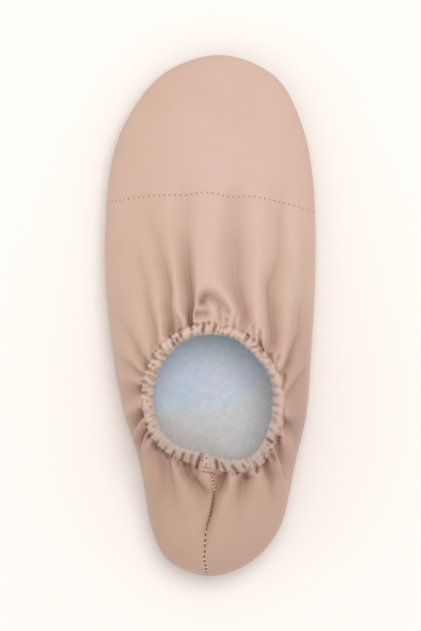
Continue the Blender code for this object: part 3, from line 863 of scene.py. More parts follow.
# Seams, in mm: the toe panel's, across the shoe, and the heel's, from the casing down to the sole.
TOE_SEAM = [
    (-47.4, 52.1), (-32.4, 54.2), (-21.9, 55.2), (-12.0, 55.2), (-2.5, 56.4), (9.1, 54.4),
    (18.7, 54.6), (24.8, 53.5), (37.8, 50.6), (48.0, 47.5),
]
HEEL_SEAM = [
    (0.7, -73.0), (1.6, -80.9), (0.9, -85.5), (-0.1, -90.7), (-1.6, -96.5), (-2.3, -100.4), (-2.6, -106.2),
    (-2.7, -112.0), (-2.0, -115.9),
]

# The pleats that the elastic draws the casing into: their clock angles on its outer and on its inner edge,
# and the share of its thickness that they take up there.
PLEATS = [
    (1, 2, 0.05, 0.45), (8, 11, 0.25, 0.40), (19, 20, 0.12, 0.35), (26, 28, 0.20, 0.40),
    (31, 32, 0.35, 0.20), (37, 42, 0.50, 0.40), (44, 48, 0.50, 0.30), (50, 54, 0.45, 0.35),
    (55.5, 60, 0.50, 0.30), (61, 63, 0.60, 0.35), (66.5, 68, 0.35, 0.40), (70, 72.5, 0.35, 0.40),
    (75, 78, 0.50, 0.40), (81, 83.5, 0.50, 0.35), (85.5, 87.5, 0.35, 0.30), (89.5, 91.5, 0.60, 0.50),
    (94.5, 94.5, 0.45, 0.40), (98.5, 100.8, 0.70, 0.50), (104, 104.8, 0.50, 0.35), (109, 111, 0.55, 0.55),
    (113.5, 115, 0.40, 0.20), (119, 119.8, 0.65, 0.40), (123, 124, 0.40, 0.60), (127, 128, 0.60, 0.55),
    (131.5, 134, 0.40, 0.40), (137.8, 139.5, 0.75, 0.60), (142, 143, 0.40, 0.25), (147, 146.3, 0.75, 0.45),
    (152.3, 153.5, 0.45, 0.45), (157.3, 158, 0.60, 0.45), (162, 163.8, 0.50, 0.45), (168, 171, 0.75, 0.40),
    (172.5, 175, 0.40, 0.30), (176.5, 180, 0.60, 0.40), (182, 184, 0.20, 0.30), (187, 189, 0.15, 0.25),
    (192.5, 193, 0.20, 0.20), (197, 197, 0.20, 0.30), (201.5, 201.5, 0.30, 0.20), (206, 206, 0.20, 0.30),
    (210.5, 209, 0.30, 0.25), (214.5, 213, 0.20, 0.20), (218, 217.5, 0.35, 0.20), (222.5, 221, 0.30, 0.25),
    (226, 225, 0.42, 0.20), (230, 228, 0.25, 0.25), (233.7, 232, 0.50, 0.20), (237.5, 236, 0.30, 0.25),
    (241.5, 240.5, 0.78, 0.25), (245, 244.5, 0.30, 0.20), (249.5, 248.5, 0.40, 0.30),
    (255.5, 257, 0.90, 0.50), (266.5, 266, 0.25, 0.20), (271.8, 271, 0.40, 0.30), (278, 275, 0.30, 0.30),
    (282, 280, 0.25, 0.25), (286.3, 284, 0.40, 0.30), (288.3, 288, 0.25, 0.20), (293.3, 292, 0.30, 0.30),
    (296.3, 297, 0.25, 0.35), (300.5, 301, 0.35, 0.30), (305, 305, 0.25, 0.20), (309.3, 310.5, 0.40, 0.30),
    (313, 314, 0.25, 0.25), (316.5, 318, 0.30, 0.35), (321.7, 321.3, 0.30, 0.50),
    (327.5, 329.5, 0.35, 0.40), (334.5, 339, 0.12, 0.40), (344, 345.5, 0.10, 0.35), (352, 353, 0.06, 0.40),
]
PLEAT_WIDTH = 0.55              # mm
PLEAT_SOFT = 0.3                # rounding of a pleat's bottom, in its widths
PLEAT_DEPTH = 2.2               # mm that a pleat of share 1 presses into the cloth beside the casing
PLEAT_REACH = (-3.0, 20.0)      # mm out from the casing's outer edge
FRONT_COLUMNS = 430
REAR_COLUMNS = 320
COLUMNS = FRONT_COLUMNS + REAR_COLUMNS
TUCK_ROWS = 8
ROOF_ROWS = 73
LIP_ROWS = 6
OUTER_ROWS = TUCK_ROWS + ROOF_ROWS + LIP_ROWS
ROOF_ROW = TUCK_ROWS + 19       # the rows are closer above this one, where the folds are
CLOTH_ROWS = [0, TUCK_ROWS, ROOF_ROW, TUCK_ROWS + ROOF_ROWS, OUTER_ROWS]
CLOTH_LEVELS = [0, 1, 1.42, 2, 3]
LINING_LEVELS = [
    3.0, 2.7, 2.4, 2.15, 2.0, 1.96, 1.92, 1.88, 1.84, 1.80, 1.77, 1.74, 1.71, 1.68, 1.65, 1.62, 1.59, 1.56,
    1.52, 1.48, 1.44, 1.40, 1.35, 1.30, 1.24, 1.17, 1.09, 1.0, 0.7, 0.35, 0.0,
]
ROWS = OUTER_ROWS + len(LINING_LEVELS) + 1
STEADY_LEVEL = 1.88             # from here on the cloth keeps the direction that it has here
FIRST_ROW = 0.6                 # the lowest row whose direction can be told
SEAM_BAND = 1.3                 # mm on either side of a seam where the cloth is meshed finer
TOE_STITCH = 2.5                # mm
TOE_SEAM_RUN = 96.0             # mm
TOE_GROOVE = (0.28, 0.7)        # mm deep, mm wide
TOE_PUCKER = (0.10, 1.2, 0.2)   # mm high, mm wide, mm off the seam's middle where it starts
HEEL_GROOVE_WIDTH = 1.1         # mm

# How deep the heel seam is drawn in.
HEEL_GROOVE = [
    # along  depth (mm)
    (0.00,   0.3),
    (0.15,   0.6),
    (0.35,   1.6),
    (0.60,   1.2),
    (0.80,   0.7),
    (1.00,   0.5),
]

PATH_POINTS = 8                 # points of a path's smooth line, for each point of the path
FOLD_REACH = 4.0                # widths
DENT_SOFT = 0.35                # rounding of a dent's bottom, in its widths
DENT_FLANK = 0.75               # widths in which a dent's flanks run out
RIDGE_ROUND = 0.7               # higher for steeper ridges
DRAPE_ANGLES = 1440             # steps of the drape's table round the casing
DRAPE_REACH = 118               # mm out from the casing's core
DRAPE_APART = 0.001             # degrees that keep two lines apart where they meet
VALLEY_EDGE = 0.75              # 0 for round valleys, 1 for sharp ones
HOLD_OUT = 0.8                  # mm out from the casing's core; no fold draws the cloth further in
EASE_ROUNDS = 3                 # the cloth is stiff, so the folds have no sharper edges than this
PRESS_HALF = (50.0, 121.0)      # mm
PRESS_STEP = 0.5                # mm
PRESS_REACH = 5                 # steps
LINING_REACH = 3                # steps
LINING_CLEAR = 0.15             # share of a hollow's depth that the lining keeps below it, beside the casing
HOLLOW_SHADE_FULL = 12.0               # mm of dent at which a hollow gets its whole painted shade
GROOVE_SHADE_FULL = 1.6               # mm under the cloth around it at which a narrow groove gets its whole painted shade
GROOVE_SHADE_SHARE = 0.65             # how dark the painted shade makes such a groove
FLANK_SHADE_SHARE = 0.36              # and the inner flank, with painted shade
FLANK_ACROSS = (30, 9)          # mm across the shoe where the flank's painted shade starts, and over how much it comes in
FLANK_REAR = (-78, 22)          # mm along the shoe where it starts, the same way
FLANK_FRONT = (-12, 30)         # and where it ends

# Levels of the cloth where something starts, and over how much of a level it comes in.
FOLDED = (0.98, 0.4)
UNFOLDED = (2.15, 0.5)
TURNED_IN = (1.8, 0.15)
EASED = (1.1, 1.97)             # from, to

ROSE = (0.610, 0.425, 0.340)
ROSE_PINK = (0.625, 0.425, 0.360)
ROSE_DEEP = (0.575, 0.400, 0.315)
SHEEN_TINT = (1.0, 0.80, 0.70)
HEEL_SHADE_RANGE = (0.010, -0.060)            # m along the shoe, over which the heel's painted shade and tan come in
OUTER_RANGE = (0.005, -0.030)           # m across it, for the outer side's tone
OUTER_TONE = (0.950, 0.945, 0.925)      # how much darker the cloth's colour is made on the foot's outer side
HEEL_SHADE_AND_TAN = (0.850, 0.800, 0.770)       # painted shade and a tanner colour: how much darker and tanner it is made at the heel
PAINTED_SHADE_TONE = (0.630, 0.555, 0.530)      # painted shade in the valleys and grooves, on the inner flank and in the casing's pleats and pockets
LINING_BLUE = (0.620, 0.760, 0.970)
LINING_PALE = (0.690, 0.810, 0.980)
INNER_LINING_AND_SHADE = (0.495, 0.405, 0.360)      # the casing where it turns over to its inner side: the lining's greyer colour and painted shade together
RIB = 0.55 * MM                         # between the knit's ribs
RIB_ASPECT = 0.8                        # a stitch's height to the rib's width

FINE = fine_outline()
FINE_FINDER = finder_of(FINE)


def smooth(t):
    """Soft step from 0 to 1, flat outside."""
    t = np.clip(t, 0, 1)
    return t * t * (3 - 2 * t)


def comes_in(value, start, over):
    """Soft step from 0 at start to 1 a given way past it."""
    return smooth((value - start) / over)


def section(name, at):
    """One column of the SECTIONS table as a smooth curve along the shoe."""
    return tabled(SECTIONS, at, column={"widest": 2, "roof": 3, "shoulder": 4}[name], by=1)


def around(rows, column, angle):
    """One column of a table of clock angles, as a smooth closed curve."""
    angles = [row[0] for row in rows]
    values = [row[column] for row in rows]
    angles = [a - 360 for a in angles[-3:]] + angles + [a + 360 for a in angles[:3]]
    return through(angles, values[-3:] + values + values[:3], np.mod(angle, 360))


def collar_ring(angle, out):
    """Plan points beside the casing's core, a distance outwards from it."""
    turn = np.radians(angle)
    reach = MM * around(COLLAR, 1, angle) + out
    return COLLAR_CENTRE + np.stack([np.cos(turn), np.sin(turn)], axis=-1) * reach[:, None]


def edge_distance(points):
    """Plan distance from each point to the outline."""
    nearest = np.array([FINE_FINDER.find((x, y, 0))[1] for x, y in points])
    best = np.full(len(points), np.inf)
    for side in (-1, 1):
        start = FINE[nearest]
        step = FINE[(nearest + side) % len(FINE)] - start
        t = np.clip(((points - start) * step).sum(axis=1) / (step * step).sum(axis=1), 0, 1)
        best = np.minimum(best, np.linalg.norm(start + step * t[:, None] - points, axis=1))
    return best


def roof_height(points):
    """Height of the cloth roof over plan points, before it is led to the collar."""
    place = along(points[:, 1])
    low = section("widest", place)
    inward = 1 - np.minimum(edge_distance(points) / section("shoulder", place), 1)
    return low + (section("roof", place) - low) * np.sqrt(1 - inward**2)


def ring_walk():
    """Arc lengths and points of the outline's front run over the toe and rear run over the heel."""
    above = FINE[:, 1] > COLLAR_CENTRE[1]
    first = int(np.flatnonzero(above & ~np.roll(above, 1))[0])
    loop = np.vstack([np.roll(FINE, -first, axis=0), FINE[first]])
    turn = int(np.flatnonzero(loop[:, 1] < COLLAR_CENTRE[1])[0])
    lengths = run_along(loop)
    return loop, lengths, lengths[turn - 1]


LOOP, LOOP_RUN, FRONT_RUN = ring_walk()


def shared_out(column, front, whole):
    """A run around the shoe at grid columns: evenly to front over the toe, then to whole round the heel."""
    column = np.mod(column, COLUMNS)
    rear = (column - FRONT_COLUMNS) / REAR_COLUMNS
    return np.where(column < FRONT_COLUMNS, front * column / FRONT_COLUMNS, front + (whole - front) * rear)


def ring_at(column):
    """Outline points at grid columns, and their outward normals."""
    whole = LOOP_RUN[-1]
    run = shared_out(column, FRONT_RUN, whole)
    ring, before, after = (
        np.stack([np.interp(np.mod(run + off, whole), LOOP_RUN, LOOP[:, axis]) for axis in range(2)], axis=1)
        for off in (0, -MM, MM)
    )
    return ring, to_the_right(after - before)


def clock_at(column):
    """Clock angle round the collar that a grid column leads to."""
    return shared_out(column, 180, 360)


def level_at(row):
    """How far up the cloth a row is: 0 its lower edge, 1 the widest line, 2 the roof's rim, 3 its end."""
    back = [OUTER_ROWS + 1 + index for index in range(len(LINING_LEVELS))]
    return np.interp(row, CLOTH_ROWS + back + [ROWS], CLOTH_LEVELS + LINING_LEVELS + [0])


def cloth_points(column, row):
    """Points of the unfolded upper at grid columns and rows, and how far up the cloth they are."""
    level = level_at(row)
    ring, normal = ring_at(column)
    angle = clock_at(column)
    core = MM * around(COLLAR, 2, angle)
    edge = MM * around(CASING, 1, angle)
    beside = MM * around(CASING, 3, angle)
    widest = section("widest", along(ring[:, 1]))
    turn = TUCK_TURN * (1 - np.clip(level, 0, 1))
    tucked = ring - normal * (TUCK_DEPTH * (1 - np.cos(turn)))[:, None]
    foot = rise(tucked[:, 1]) + SOLE_THICK + INSOLE_GAP
    tucked_height = widest - (widest - foot) * np.sin(turn) / math.sin(TUCK_TURN)
    share = smooth(level - 1)
    near, far = DIP[-1][0], DIP[0][0]
    rim = collar_ring(angle, edge + MM * near)
    plan = ring + (rim - ring) * share[:, None]
    roof = roof_height(plan) + (core + beside - roof_height(rim)) * smooth(share)
    out = MM * (near + (far - near) * np.clip(level - 2, 0, 1))
    lip = collar_ring(angle, edge + out)
    down = tabled(DIP, out / MM)
    lip_height = core + beside - (beside + MM * UNDER_BAND) * down
    low = np.column_stack([tucked, tucked_height])
    middle = np.column_stack([plan, roof])
    high = np.column_stack([lip, lip_height])
    points = np.where((level < 1)[:, None], low, np.where((level <= 2)[:, None], middle, high))
    return points, level


def cloth_out(column, row):
    """Unit directions out of the unfolded cloth; beside and under the casing, those of the cloth near it."""
    level = np.minimum(level_at(row), STEADY_LEVEL)
    row = np.clip(np.interp(level, CLOTH_LEVELS, CLOTH_ROWS), FIRST_ROW, None)
    points = [cloth_points(column + a, row + b)[0] for a, b in ((0.5, 0), (-0.5, 0), (0, 0.5), (0, -0.5))]
    out = np.cross(points[0] - points[1], points[2] - points[3])
    return out / np.linalg.norm(out, axis=1)[:, None]


def path_offset(points, path):
    """Signed distance of plan points (mm) to the left of a smooth path, and the fraction along it."""
    path = np.array(path, dtype=float)
    run = run_along(path)
    line = curve_points(run, path, np.linspace(0, run[-1], PATH_POINTS * len(path)))
    best = np.full(len(points), np.inf)
    side = np.zeros(len(points))
    share = np.zeros(len(points))
    for index in range(len(line) - 1):
        step = line[index + 1] - line[index]
        gap = points - line[index]
        t = np.clip((gap @ step) / (step @ step), 0, 1)
        off = np.linalg.norm(gap - t[:, None] * step, axis=1)
        closer = off < best
        best = np.where(closer, off, best)
        side = np.where(closer, np.sign(step[0] * gap[:, 1] - step[1] * gap[:, 0]), side)
        share = np.where(closer, (index + t) / (len(line) - 1), share)
    return best * side, share


def beside_casing(places):
    """Plan points in mm of (clock angle, mm out) places."""
    places = np.array(places, dtype=float)
    return collar_ring(places[:, 0], MM * places[:, 1]) / MM


def fold_height(points):
    """Height that the listed folds and spots add, in mm, at plan points in mm."""
    height = np.zeros(len(points))
    for depth, width, end, places in FOLDS:
        path = beside_casing(places)
        reach = FOLD_REACH * width
        low, high = np.min(path, axis=0) - reach, np.max(path, axis=0) + reach
        near = np.all((points > low) & (points < high), axis=1)
        off, share = path_offset(points[near], path)
        if depth < 0:
            soft = DENT_SOFT * width
            shape = np.exp(-(np.sqrt(off**2 + soft**2) - soft) / (DENT_FLANK * width))
        else:
            shape = np.exp(-RIDGE_ROUND * (off / width) ** 2)
        height[near] += depth * shape * (1 + (end - 1) * smooth(share))
    for depth, size, places in SPOTS:
        for spot in beside_casing(places):
            off = np.linalg.norm(points - spot, axis=1)
            height += depth * np.exp(-((off / size) ** 2))
    return height


def draped_curve(places, values, at):
    """Curve through values that rounds over the crests and comes down to an edge in the valleys."""
    steps = np.diff(values) / np.diff(places)
    before = np.concatenate([[0.0], steps])
    after = np.concatenate([steps, [0.0]])
    joined = before * after > 0
    total = np.where(joined, before + after, 1.0)
    slopes = np.where(joined, 2 * before * after / total, 0.0)
    valley = VALLEY_EDGE * ((before < 0) & (after > 0))
    return sloped(places, values, slopes + valley * after, slopes + valley * before, at)


def clock_place(points):
    """Clock angle (degrees) and distance out from the casing's core (mm) of plan points in mm."""
    gap = points - COLLAR_CENTRE / MM
    angle = np.degrees(np.arctan2(gap[:, 1], gap[:, 0]))
    return np.mod(angle, 360), np.linalg.norm(gap, axis=1) - around(COLLAR, 1, angle)


def drape_table():
    """Height of the drape in mm on a table of distances out from the casing by clock angles."""
    outs = np.arange(0.0, DRAPE_REACH)
    lines = []
    for _, near, far in DRAPE:
        angle, out, height = np.array(near, dtype=float).T
        if far:
            far_angle, far_out = clock_place(np.array(far)[:, :2])
            angle = np.append(angle, far_angle)
            out = np.append(out, far_out)
            height = np.append(height, np.array(far)[:, 2])
        angle = np.degrees(np.unwrap(np.radians(angle)))
        at = np.clip(outs, out[0], out[-1])
        lines.append((through(out, angle, at), through(out, height, at)))
    angles, heights = (np.array(found) for found in zip(*lines))
    table = np.zeros((len(outs), DRAPE_ANGLES + 1))
    at = np.linspace(0, 360, DRAPE_ANGLES + 1)
    for index in range(len(outs)):
        places = np.mod(angles[:, index], 360)
        order = np.argsort(places)
        places = np.maximum.accumulate(places[order]) + DRAPE_APART * np.arange(len(order))
        values = heights[order, index]
        places = np.concatenate([places[-2:] - 360, places, places[:2] + 360])
        values = np.concatenate([values[-2:], values, values[:2]])
        table[index] = draped_curve(places, values, at)
    for shift in (1, 2):
        table = (np.roll(table, shift, axis=1) + 2 * table + np.roll(table, -shift, axis=1)) / 4
    return table


def between(table, row, column):
    """Values of a table at fractions of its rows and columns."""
    r = np.clip(np.floor(row).astype(int), 0, table.shape[0] - 2)
    c = np.clip(np.floor(column).astype(int), 0, table.shape[1] - 2)
    u, v = row - r, column - c
    low = table[r, c] * (1 - v) + table[r, c + 1] * v
    high = table[r + 1, c] * (1 - v) + table[r + 1, c + 1] * v
    return low * (1 - u) + high * u


def drape_height(points):
    """Height of the drape in mm at plan points in mm."""
    angle, out = clock_place(points)
    return between(DRAPE_TABLE, np.clip(out, 0, DRAPE_REACH - 1.001), angle / 360 * DRAPE_ANGLES)


DRAPE_TABLE = drape_table()


def pleat_share(angle, across):
    """How much of the thickness the nearest pleat takes up; across is 0 on the casing's outer edge."""
    table = np.array(PLEATS)
    inner = smooth(across)[:, None]
    line = table[:, 0] * (1 - inner) + table[:, 1] * inner
    share = table[:, 2] * (1 - inner) + table[:, 3] * inner
    off = np.radians(np.abs(np.mod(angle[:, None] - line + 180, 360) - 180)) * COLLAR[0][1]
    soft = PLEAT_SOFT * PLEAT_WIDTH
    return np.max(share * np.exp((soft - np.sqrt(off**2 + soft**2)) / PLEAT_WIDTH), axis=1)


def gather_height(points):
    """Height in mm by which the casing's pleats press the cloth beside it, at plan points in mm."""
    angle, out = clock_place(points)
    beyond = out - around(CASING, 1, angle)
    height = np.zeros(len(points))
    near = (beyond > PLEAT_REACH[0]) & (beyond < PLEAT_REACH[1])
    fade = np.exp(-np.maximum(beyond[near], 0) / around(CASING, 4, angle[near]))
    height[near] = -PLEAT_DEPTH * fade * pleat_share(angle[near], np.zeros(len(fade)))
    return height


def seam_height(points):
    """Shallow groove and puckers along the toe seam, deep valley along the heel seam, in mm."""
    off, share = path_offset(points, TOE_SEAM)
    off = np.abs(off)
    depth, width = TOE_GROOVE
    toe = -depth * np.exp(-((off / width) ** 2))
    height, width, start = TOE_PUCKER
    pucker = np.cos(math.tau * (share * TOE_SEAM_RUN / TOE_STITCH))
    toe += height * pucker * np.exp(-off / width) * (off > start)
    off, share = path_offset(points, HEEL_SEAM)
    return toe - tabled(HEEL_GROOVE, share) * np.exp(-np.abs(off) / HEEL_GROOVE_WIDTH)


def cloth_mesh():
    """The upper's grid: around the shoe by up the outer face, over the cut edge and down the lining."""
    mesh = bmesh.new()
    bmesh.ops.create_grid(mesh, x_segments=COLUMNS, y_segments=ROWS, size=0.5)
    bmesh.ops.translate(mesh, verts=mesh.verts, vec=(0.5, 0.5, 0))
    bmesh.ops.scale(mesh, verts=mesh.verts, vec=(COLUMNS, ROWS, 1))
    mesh.faces.ensure_lookup_table()
    middles = np.array([face.calc_center_median()[:2] for face in mesh.faces])
    points, _ = cloth_points(middles[:, 0], middles[:, 1])
    outer = middles[:, 1] < TUCK_ROWS + ROOF_ROWS
    off = [np.abs(path_offset(points[:, :2] / MM, seam)[0]) for seam in (TOE_SEAM, HEEL_SEAM)]
    chosen = np.flatnonzero(outer & (np.minimum(*off) < SEAM_BAND))
    edges = {edge for index in chosen for edge in mesh.faces[index].edges}
    bmesh.ops.subdivide_edges(mesh, edges=list(edges), cuts=2, use_grid_fill=True)
    return mesh


def make_upper():
    """The unfolded upper: its mesh, and each vertex's place, way out, level and whether it is lining."""
    data = as_data("cloth grid", cloth_mesh())
    flat = np.zeros(3 * len(data.vertices))
    data.vertices.foreach_get("co", flat)
    column, row = flat.reshape(-1, 3)[:, :2].T
    points, level = cloth_points(column, row)
    lining = (row > OUTER_ROWS + 0.5) & (row < ROWS - 0.5)
    data.vertices.foreach_set("co", points.ravel())
    write_cloth_uv(data, column, row)
    for name, values in (("level", level), ("lining", lining.astype(float))):
        layer = data.attributes.new(name, "FLOAT", "POINT")
        layer.data.foreach_set("value", values.astype(np.float32))
    layer = data.attributes.new("out", "FLOAT_VECTOR", "POINT")
    layer.data.foreach_set("vector", cloth_out(column, row).astype(np.float32).ravel())
    shell = bmesh.new()
    shell.from_mesh(data)
    layers = shell.verts.layers
    linings = layers.float["lining"]
    for side in (0, 1):
        same = [v for v in shell.verts if round(v[linings]) == side]
        bmesh.ops.remove_doubles(shell, verts=same, dist=DOUBLE)
    kept = (layers.float_vector["out"], layers.float["level"], linings)
    return shell, places_of(shell), *(np.array([v[layer] for v in shell.verts]) for layer in kept)


def write_cloth_uv(data, column, row):
    """UV in metres of flat cloth: from the outline, along the way to the collar, by length of cloth."""
    columns, rows = np.meshgrid(np.arange(COLUMNS + 1.0), np.arange(ROWS + 1.0))
    table, _ = cloth_points(columns.ravel(), rows.ravel())
    steps = np.linalg.norm(np.diff(table.reshape(*rows.shape, 3), axis=0), axis=2)
    run = np.vstack([np.zeros(COLUMNS + 1), np.cumsum(steps, axis=0)])
    length = between(run - run[TUCK_ROWS], row, column)
    ring, _ = ring_at(column)
    way = collar_ring(clock_at(column), np.zeros(len(column))) - ring
    way = way / np.linalg.norm(way, axis=1)[:, None]
    flat = ring + way * length[:, None]
    corner = np.zeros(len(data.loops), dtype=np.int32)
    data.loops.foreach_get("vertex_index", corner)
    data.uv_layers.new(name="cloth").data.foreach_set("uv", flat[corner].astype(np.float32).ravel())


def press_tables(height):
    """The lowest and the mean height nearby, of what height adds in mm, on a grid over the shoe."""
    x = np.arange(-PRESS_HALF[0], PRESS_HALF[0] + PRESS_STEP / 2, PRESS_STEP)
    y = np.arange(-PRESS_HALF[1], PRESS_HALF[1] + PRESS_STEP / 2, PRESS_STEP)
    plan = np.stack(np.meshgrid(x, y, indexing="ij"), axis=-1).reshape(-1, 2)
    pressed = height(plan).reshape(len(x), len(y))
    lowest, total, count = pressed.copy(), np.zeros(pressed.shape), 0
    for i in range(-PRESS_REACH, PRESS_REACH + 1):
        for j in range(-PRESS_REACH, PRESS_REACH + 1):
            if i * i + j * j > PRESS_REACH**2:
                continue
            shifted = np.roll(pressed, (i, j), axis=(0, 1))
            total += shifted
            count += 1
            if i * i + j * j <= LINING_REACH**2:
                lowest = np.minimum(lowest, shifted)
    return lowest, total / count


def read_table(table, plan):
    """Values of a press table at plan points in mm."""
    return between(table, *((plan + np.array(PRESS_HALF)) / PRESS_STEP).T)


def drawn_height(plan):
    """Height in mm that the drape, the casing's pleats and the seams together add at plan points in mm."""
    return drape_height(plan) + gather_height(plan) + seam_height(plan)


def painted_shade_share(plan, pressed, mean):
    """How much shade is painted on the cloth: in wide hollows, in narrow grooves and on the inner flank."""
    x, y = plan.T
    flank = comes_in(x, *FLANK_ACROSS) * comes_in(y, *FLANK_REAR) * (1 - comes_in(y, *FLANK_FRONT))
    hollow = np.clip(-(pressed + mean) / (2 * HOLLOW_SHADE_FULL), 0, 1)
    groove = np.clip((mean - pressed) / GROOVE_SHADE_FULL, 0, 1)
    return np.clip(hollow + GROOVE_SHADE_SHARE * groove + FLANK_SHADE_SHARE * flank, 0, 1)


def add_values(mesh, name, values):
    """A number for each vertex of a bmesh, for its material to read."""
    layer = mesh.verts.layers.float.new(name)
    for vertex, value in zip(mesh.verts, values):
        vertex[layer] = value


def fold_upper():
    """The upper with its folds, gathers and seams; the lining keeps below the lowest cloth near it."""
    shell, base, out, level, lining = make_upper()
    inside = lining > 0.5
    plan = base[:, :2] / MM
    lowest, mean = press_tables(drawn_height)
    own = np.where(inside, read_table(lowest, plan), drawn_height(plan))
    nearby = read_table(mean, plan)
    upward = comes_in(level, *FOLDED)
    share = MM * upward * (1 - comes_in(level, *UNFOLDED))
    turned = comes_in(level, *TURNED_IN)
    depth = np.where(inside, nearby * (1 - turned) + own * turned, own)
    move = out * (depth * share)[:, None]
    room = MM * np.maximum(clock_place(plan)[1] - HOLD_OUT * (1 - lining), 0)
    move[:, :2] *= np.minimum(1, room / np.maximum(np.linalg.norm(move[:, :2], axis=1), DOUBLE))[:, None]
    up = np.array([0, 0, 1.0])
    below = out * (1 - turned)[:, None] + up * turned[:, None]
    drop = (own - depth) * share - WALL * lining
    drop -= np.where(inside, LINING_CLEAR * np.clip(-own, 0, None), 0) * share * turned
    drawn = base + move + below * drop[:, None]
    plan_drawn = drawn[:, :2] / MM
    fold_lowest, fold_mean = press_tables(fold_height)
    folded = np.where(inside, read_table(fold_lowest, plan_drawn), fold_height(plan_drawn))
    put_places(shell, drawn + up * (folded * share)[:, None])
    shell.verts.ensure_lookup_table()
    free = ~inside & (level > EASED[0]) & (level < EASED[1])
    roof = [shell.verts[index] for index in np.flatnonzero(free)]
    axes = {"use_axis_x": True, "use_axis_y": True, "use_axis_z": True}
    for _ in range(EASE_ROUNDS):
        bmesh.ops.smooth_vert(shell, verts=roof, factor=0.5, **axes)
    nearby = nearby + read_table(fold_mean, plan_drawn)
    # painted shade: valleys, narrow grooves and the inner flank are darkened through this attribute
    add_values(shell, "painted_shade", painted_shade_share(plan, own + folded, nearby) * upward)
    shell.verts.index_update()
    for face in shell.faces:
        if all(inside[vertex.index] for vertex in face.verts):
            face.material_index = 1
    return shell


def cloth_finish(name, light, pink, deep, heel_shade_and_tan=HEEL_SHADE_AND_TAN, outer_tone=OUTER_TONE):
    """Mottled ribbed knit, toned on the outer side, with painted shade at the heel and where attributes say.
    """
    material, shader = blank(name, Roughness=0.58, Sheen_Weight=0.16, Sheen_Roughness=0.45)
    shader.inputs["Sheen Tint"].default_value = (*SHEEN_TINT, 1)
    shader.inputs["Specular IOR Level"].default_value = 0.35
    where = node(shader, "ShaderNodeTexCoord")
    apart = node(shader, "ShaderNodeSeparateXYZ", {"Vector": where["Object"]})
    painted_shade = node(shader, "ShaderNodeAttribute", attribute_name="painted_shade")["Fac"]
    inner = node(shader, "ShaderNodeAttribute", attribute_name="inner")["Fac"]
    broad = noise(shader, where["Object"], 22.0, 2.0)
    colour = ramp(shader, broad, [(0.30, deep), (0.50, light), (0.72, pink)])
    # painted shade and a tanner colour towards the heel
    colour = tinted(shader, colour, eased(shader, apart["Y"], *HEEL_SHADE_RANGE), heel_shade_and_tan)
    colour = tinted(shader, colour, eased(shader, apart["X"], *OUTER_RANGE), outer_tone)
    # painted shade in valleys, grooves, the inner flank and the casing's pleats and pockets
    colour = tinted(shader, colour, painted_shade, PAINTED_SHADE_TONE)
    # the casing's inner side: the lining's greyer colour and painted shade together
    colour = tinted(shader, colour, inner, INNER_LINING_AND_SHADE, blend="MIX")
    pitch = {"Vector": where["UV"], "Scale": (1 / RIB, 1 / (RIB * RIB_ASPECT), 1)}
    knit = node(shader, "ShaderNodeMapping", pitch)["Vector"]
    lines = {"Vector": knit, "Scale": 0.5, "Distortion": 0.6, "Detail": 0.0}
    ribs = node(shader, "ShaderNodeTexWave", lines)["Fac"]
    dress(shader, colour, maths(shader, "ADD", ribs, noise(shader, knit, 0.9, 2.0)), 0.18, 0.06 * MM)
    return material


rose = cloth_finish("rose stretch cloth", ROSE, ROSE_PINK, ROSE_DEEP)
lining = cloth_finish("blue lining cloth", LINING_BLUE, LINING_PALE, LINING_BLUE)
upper = add_piece("cloth_upper", fold_upper(), [rose, lining], sharp=75)
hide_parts("upper")


# Collar casing
# The upper's edge folded over a narrow elastic and sewn down. The elastic draws it into some seventy small
# puffs, plump on the outer side towards the toe, smoother over the inner edge and towards the heel.

CASING_ROSE = (0.690, 0.500, 0.405)
CASING_PINK = (0.700, 0.495, 0.420)
CASING_DEEP = (0.650, 0.465, 0.370)
# painted shade: the casing made darker towards the heel
CASING_HEEL_SHADE = (0.740, 0.745, 0.765)
# how much lighter the casing's colour is made on the foot's outer side
CASING_OUTER_TONE = (1.065, 1.090, 1.110)
RANDOM = np.random.default_rng(7)
PUFF_LEAST, PUFF_MOST = -0.25, 0.35            # mm
PUFF_OUT = RANDOM.uniform(PUFF_LEAST, PUFF_MOST, len(PLEATS))
PUFF_UP = RANDOM.uniform(PUFF_LEAST, PUFF_MOST, len(PLEATS))
PUFF_EDGE = 0.4                    # share of a pleat beside which the puff starts
BAND_RISE = 2.2 * MM
BAND_LEAN = 0.5 * MM               # how much its outer edge stands over its inner edge
BAND_COLUMNS = 1500
BAND_SIDES = 32
MOST_PRESSED = -3.0                # mm
DRAPED = 0.12                      # share of the drape that it follows
RIM_PRESSED = 0.5                  # share of a fold that its edges take, and what its top adds
TOP_PRESSED = 0.6
INNER_RANGE = (0.53, 0.3)          # where across it the inner side's tone starts, and over how much
EDGE_DRAW = 0.5                    # how far a pleat draws the edges in, beside how deep it cuts
# painted shade in the casing: how dark a pleat's gap is made, and the dent at which a pocket is darkest
PLEAT_SHADE = 0.55
POCKET_SHADE_FULL = 3.4                  # mm of dent at which a pocket gets its whole painted shade


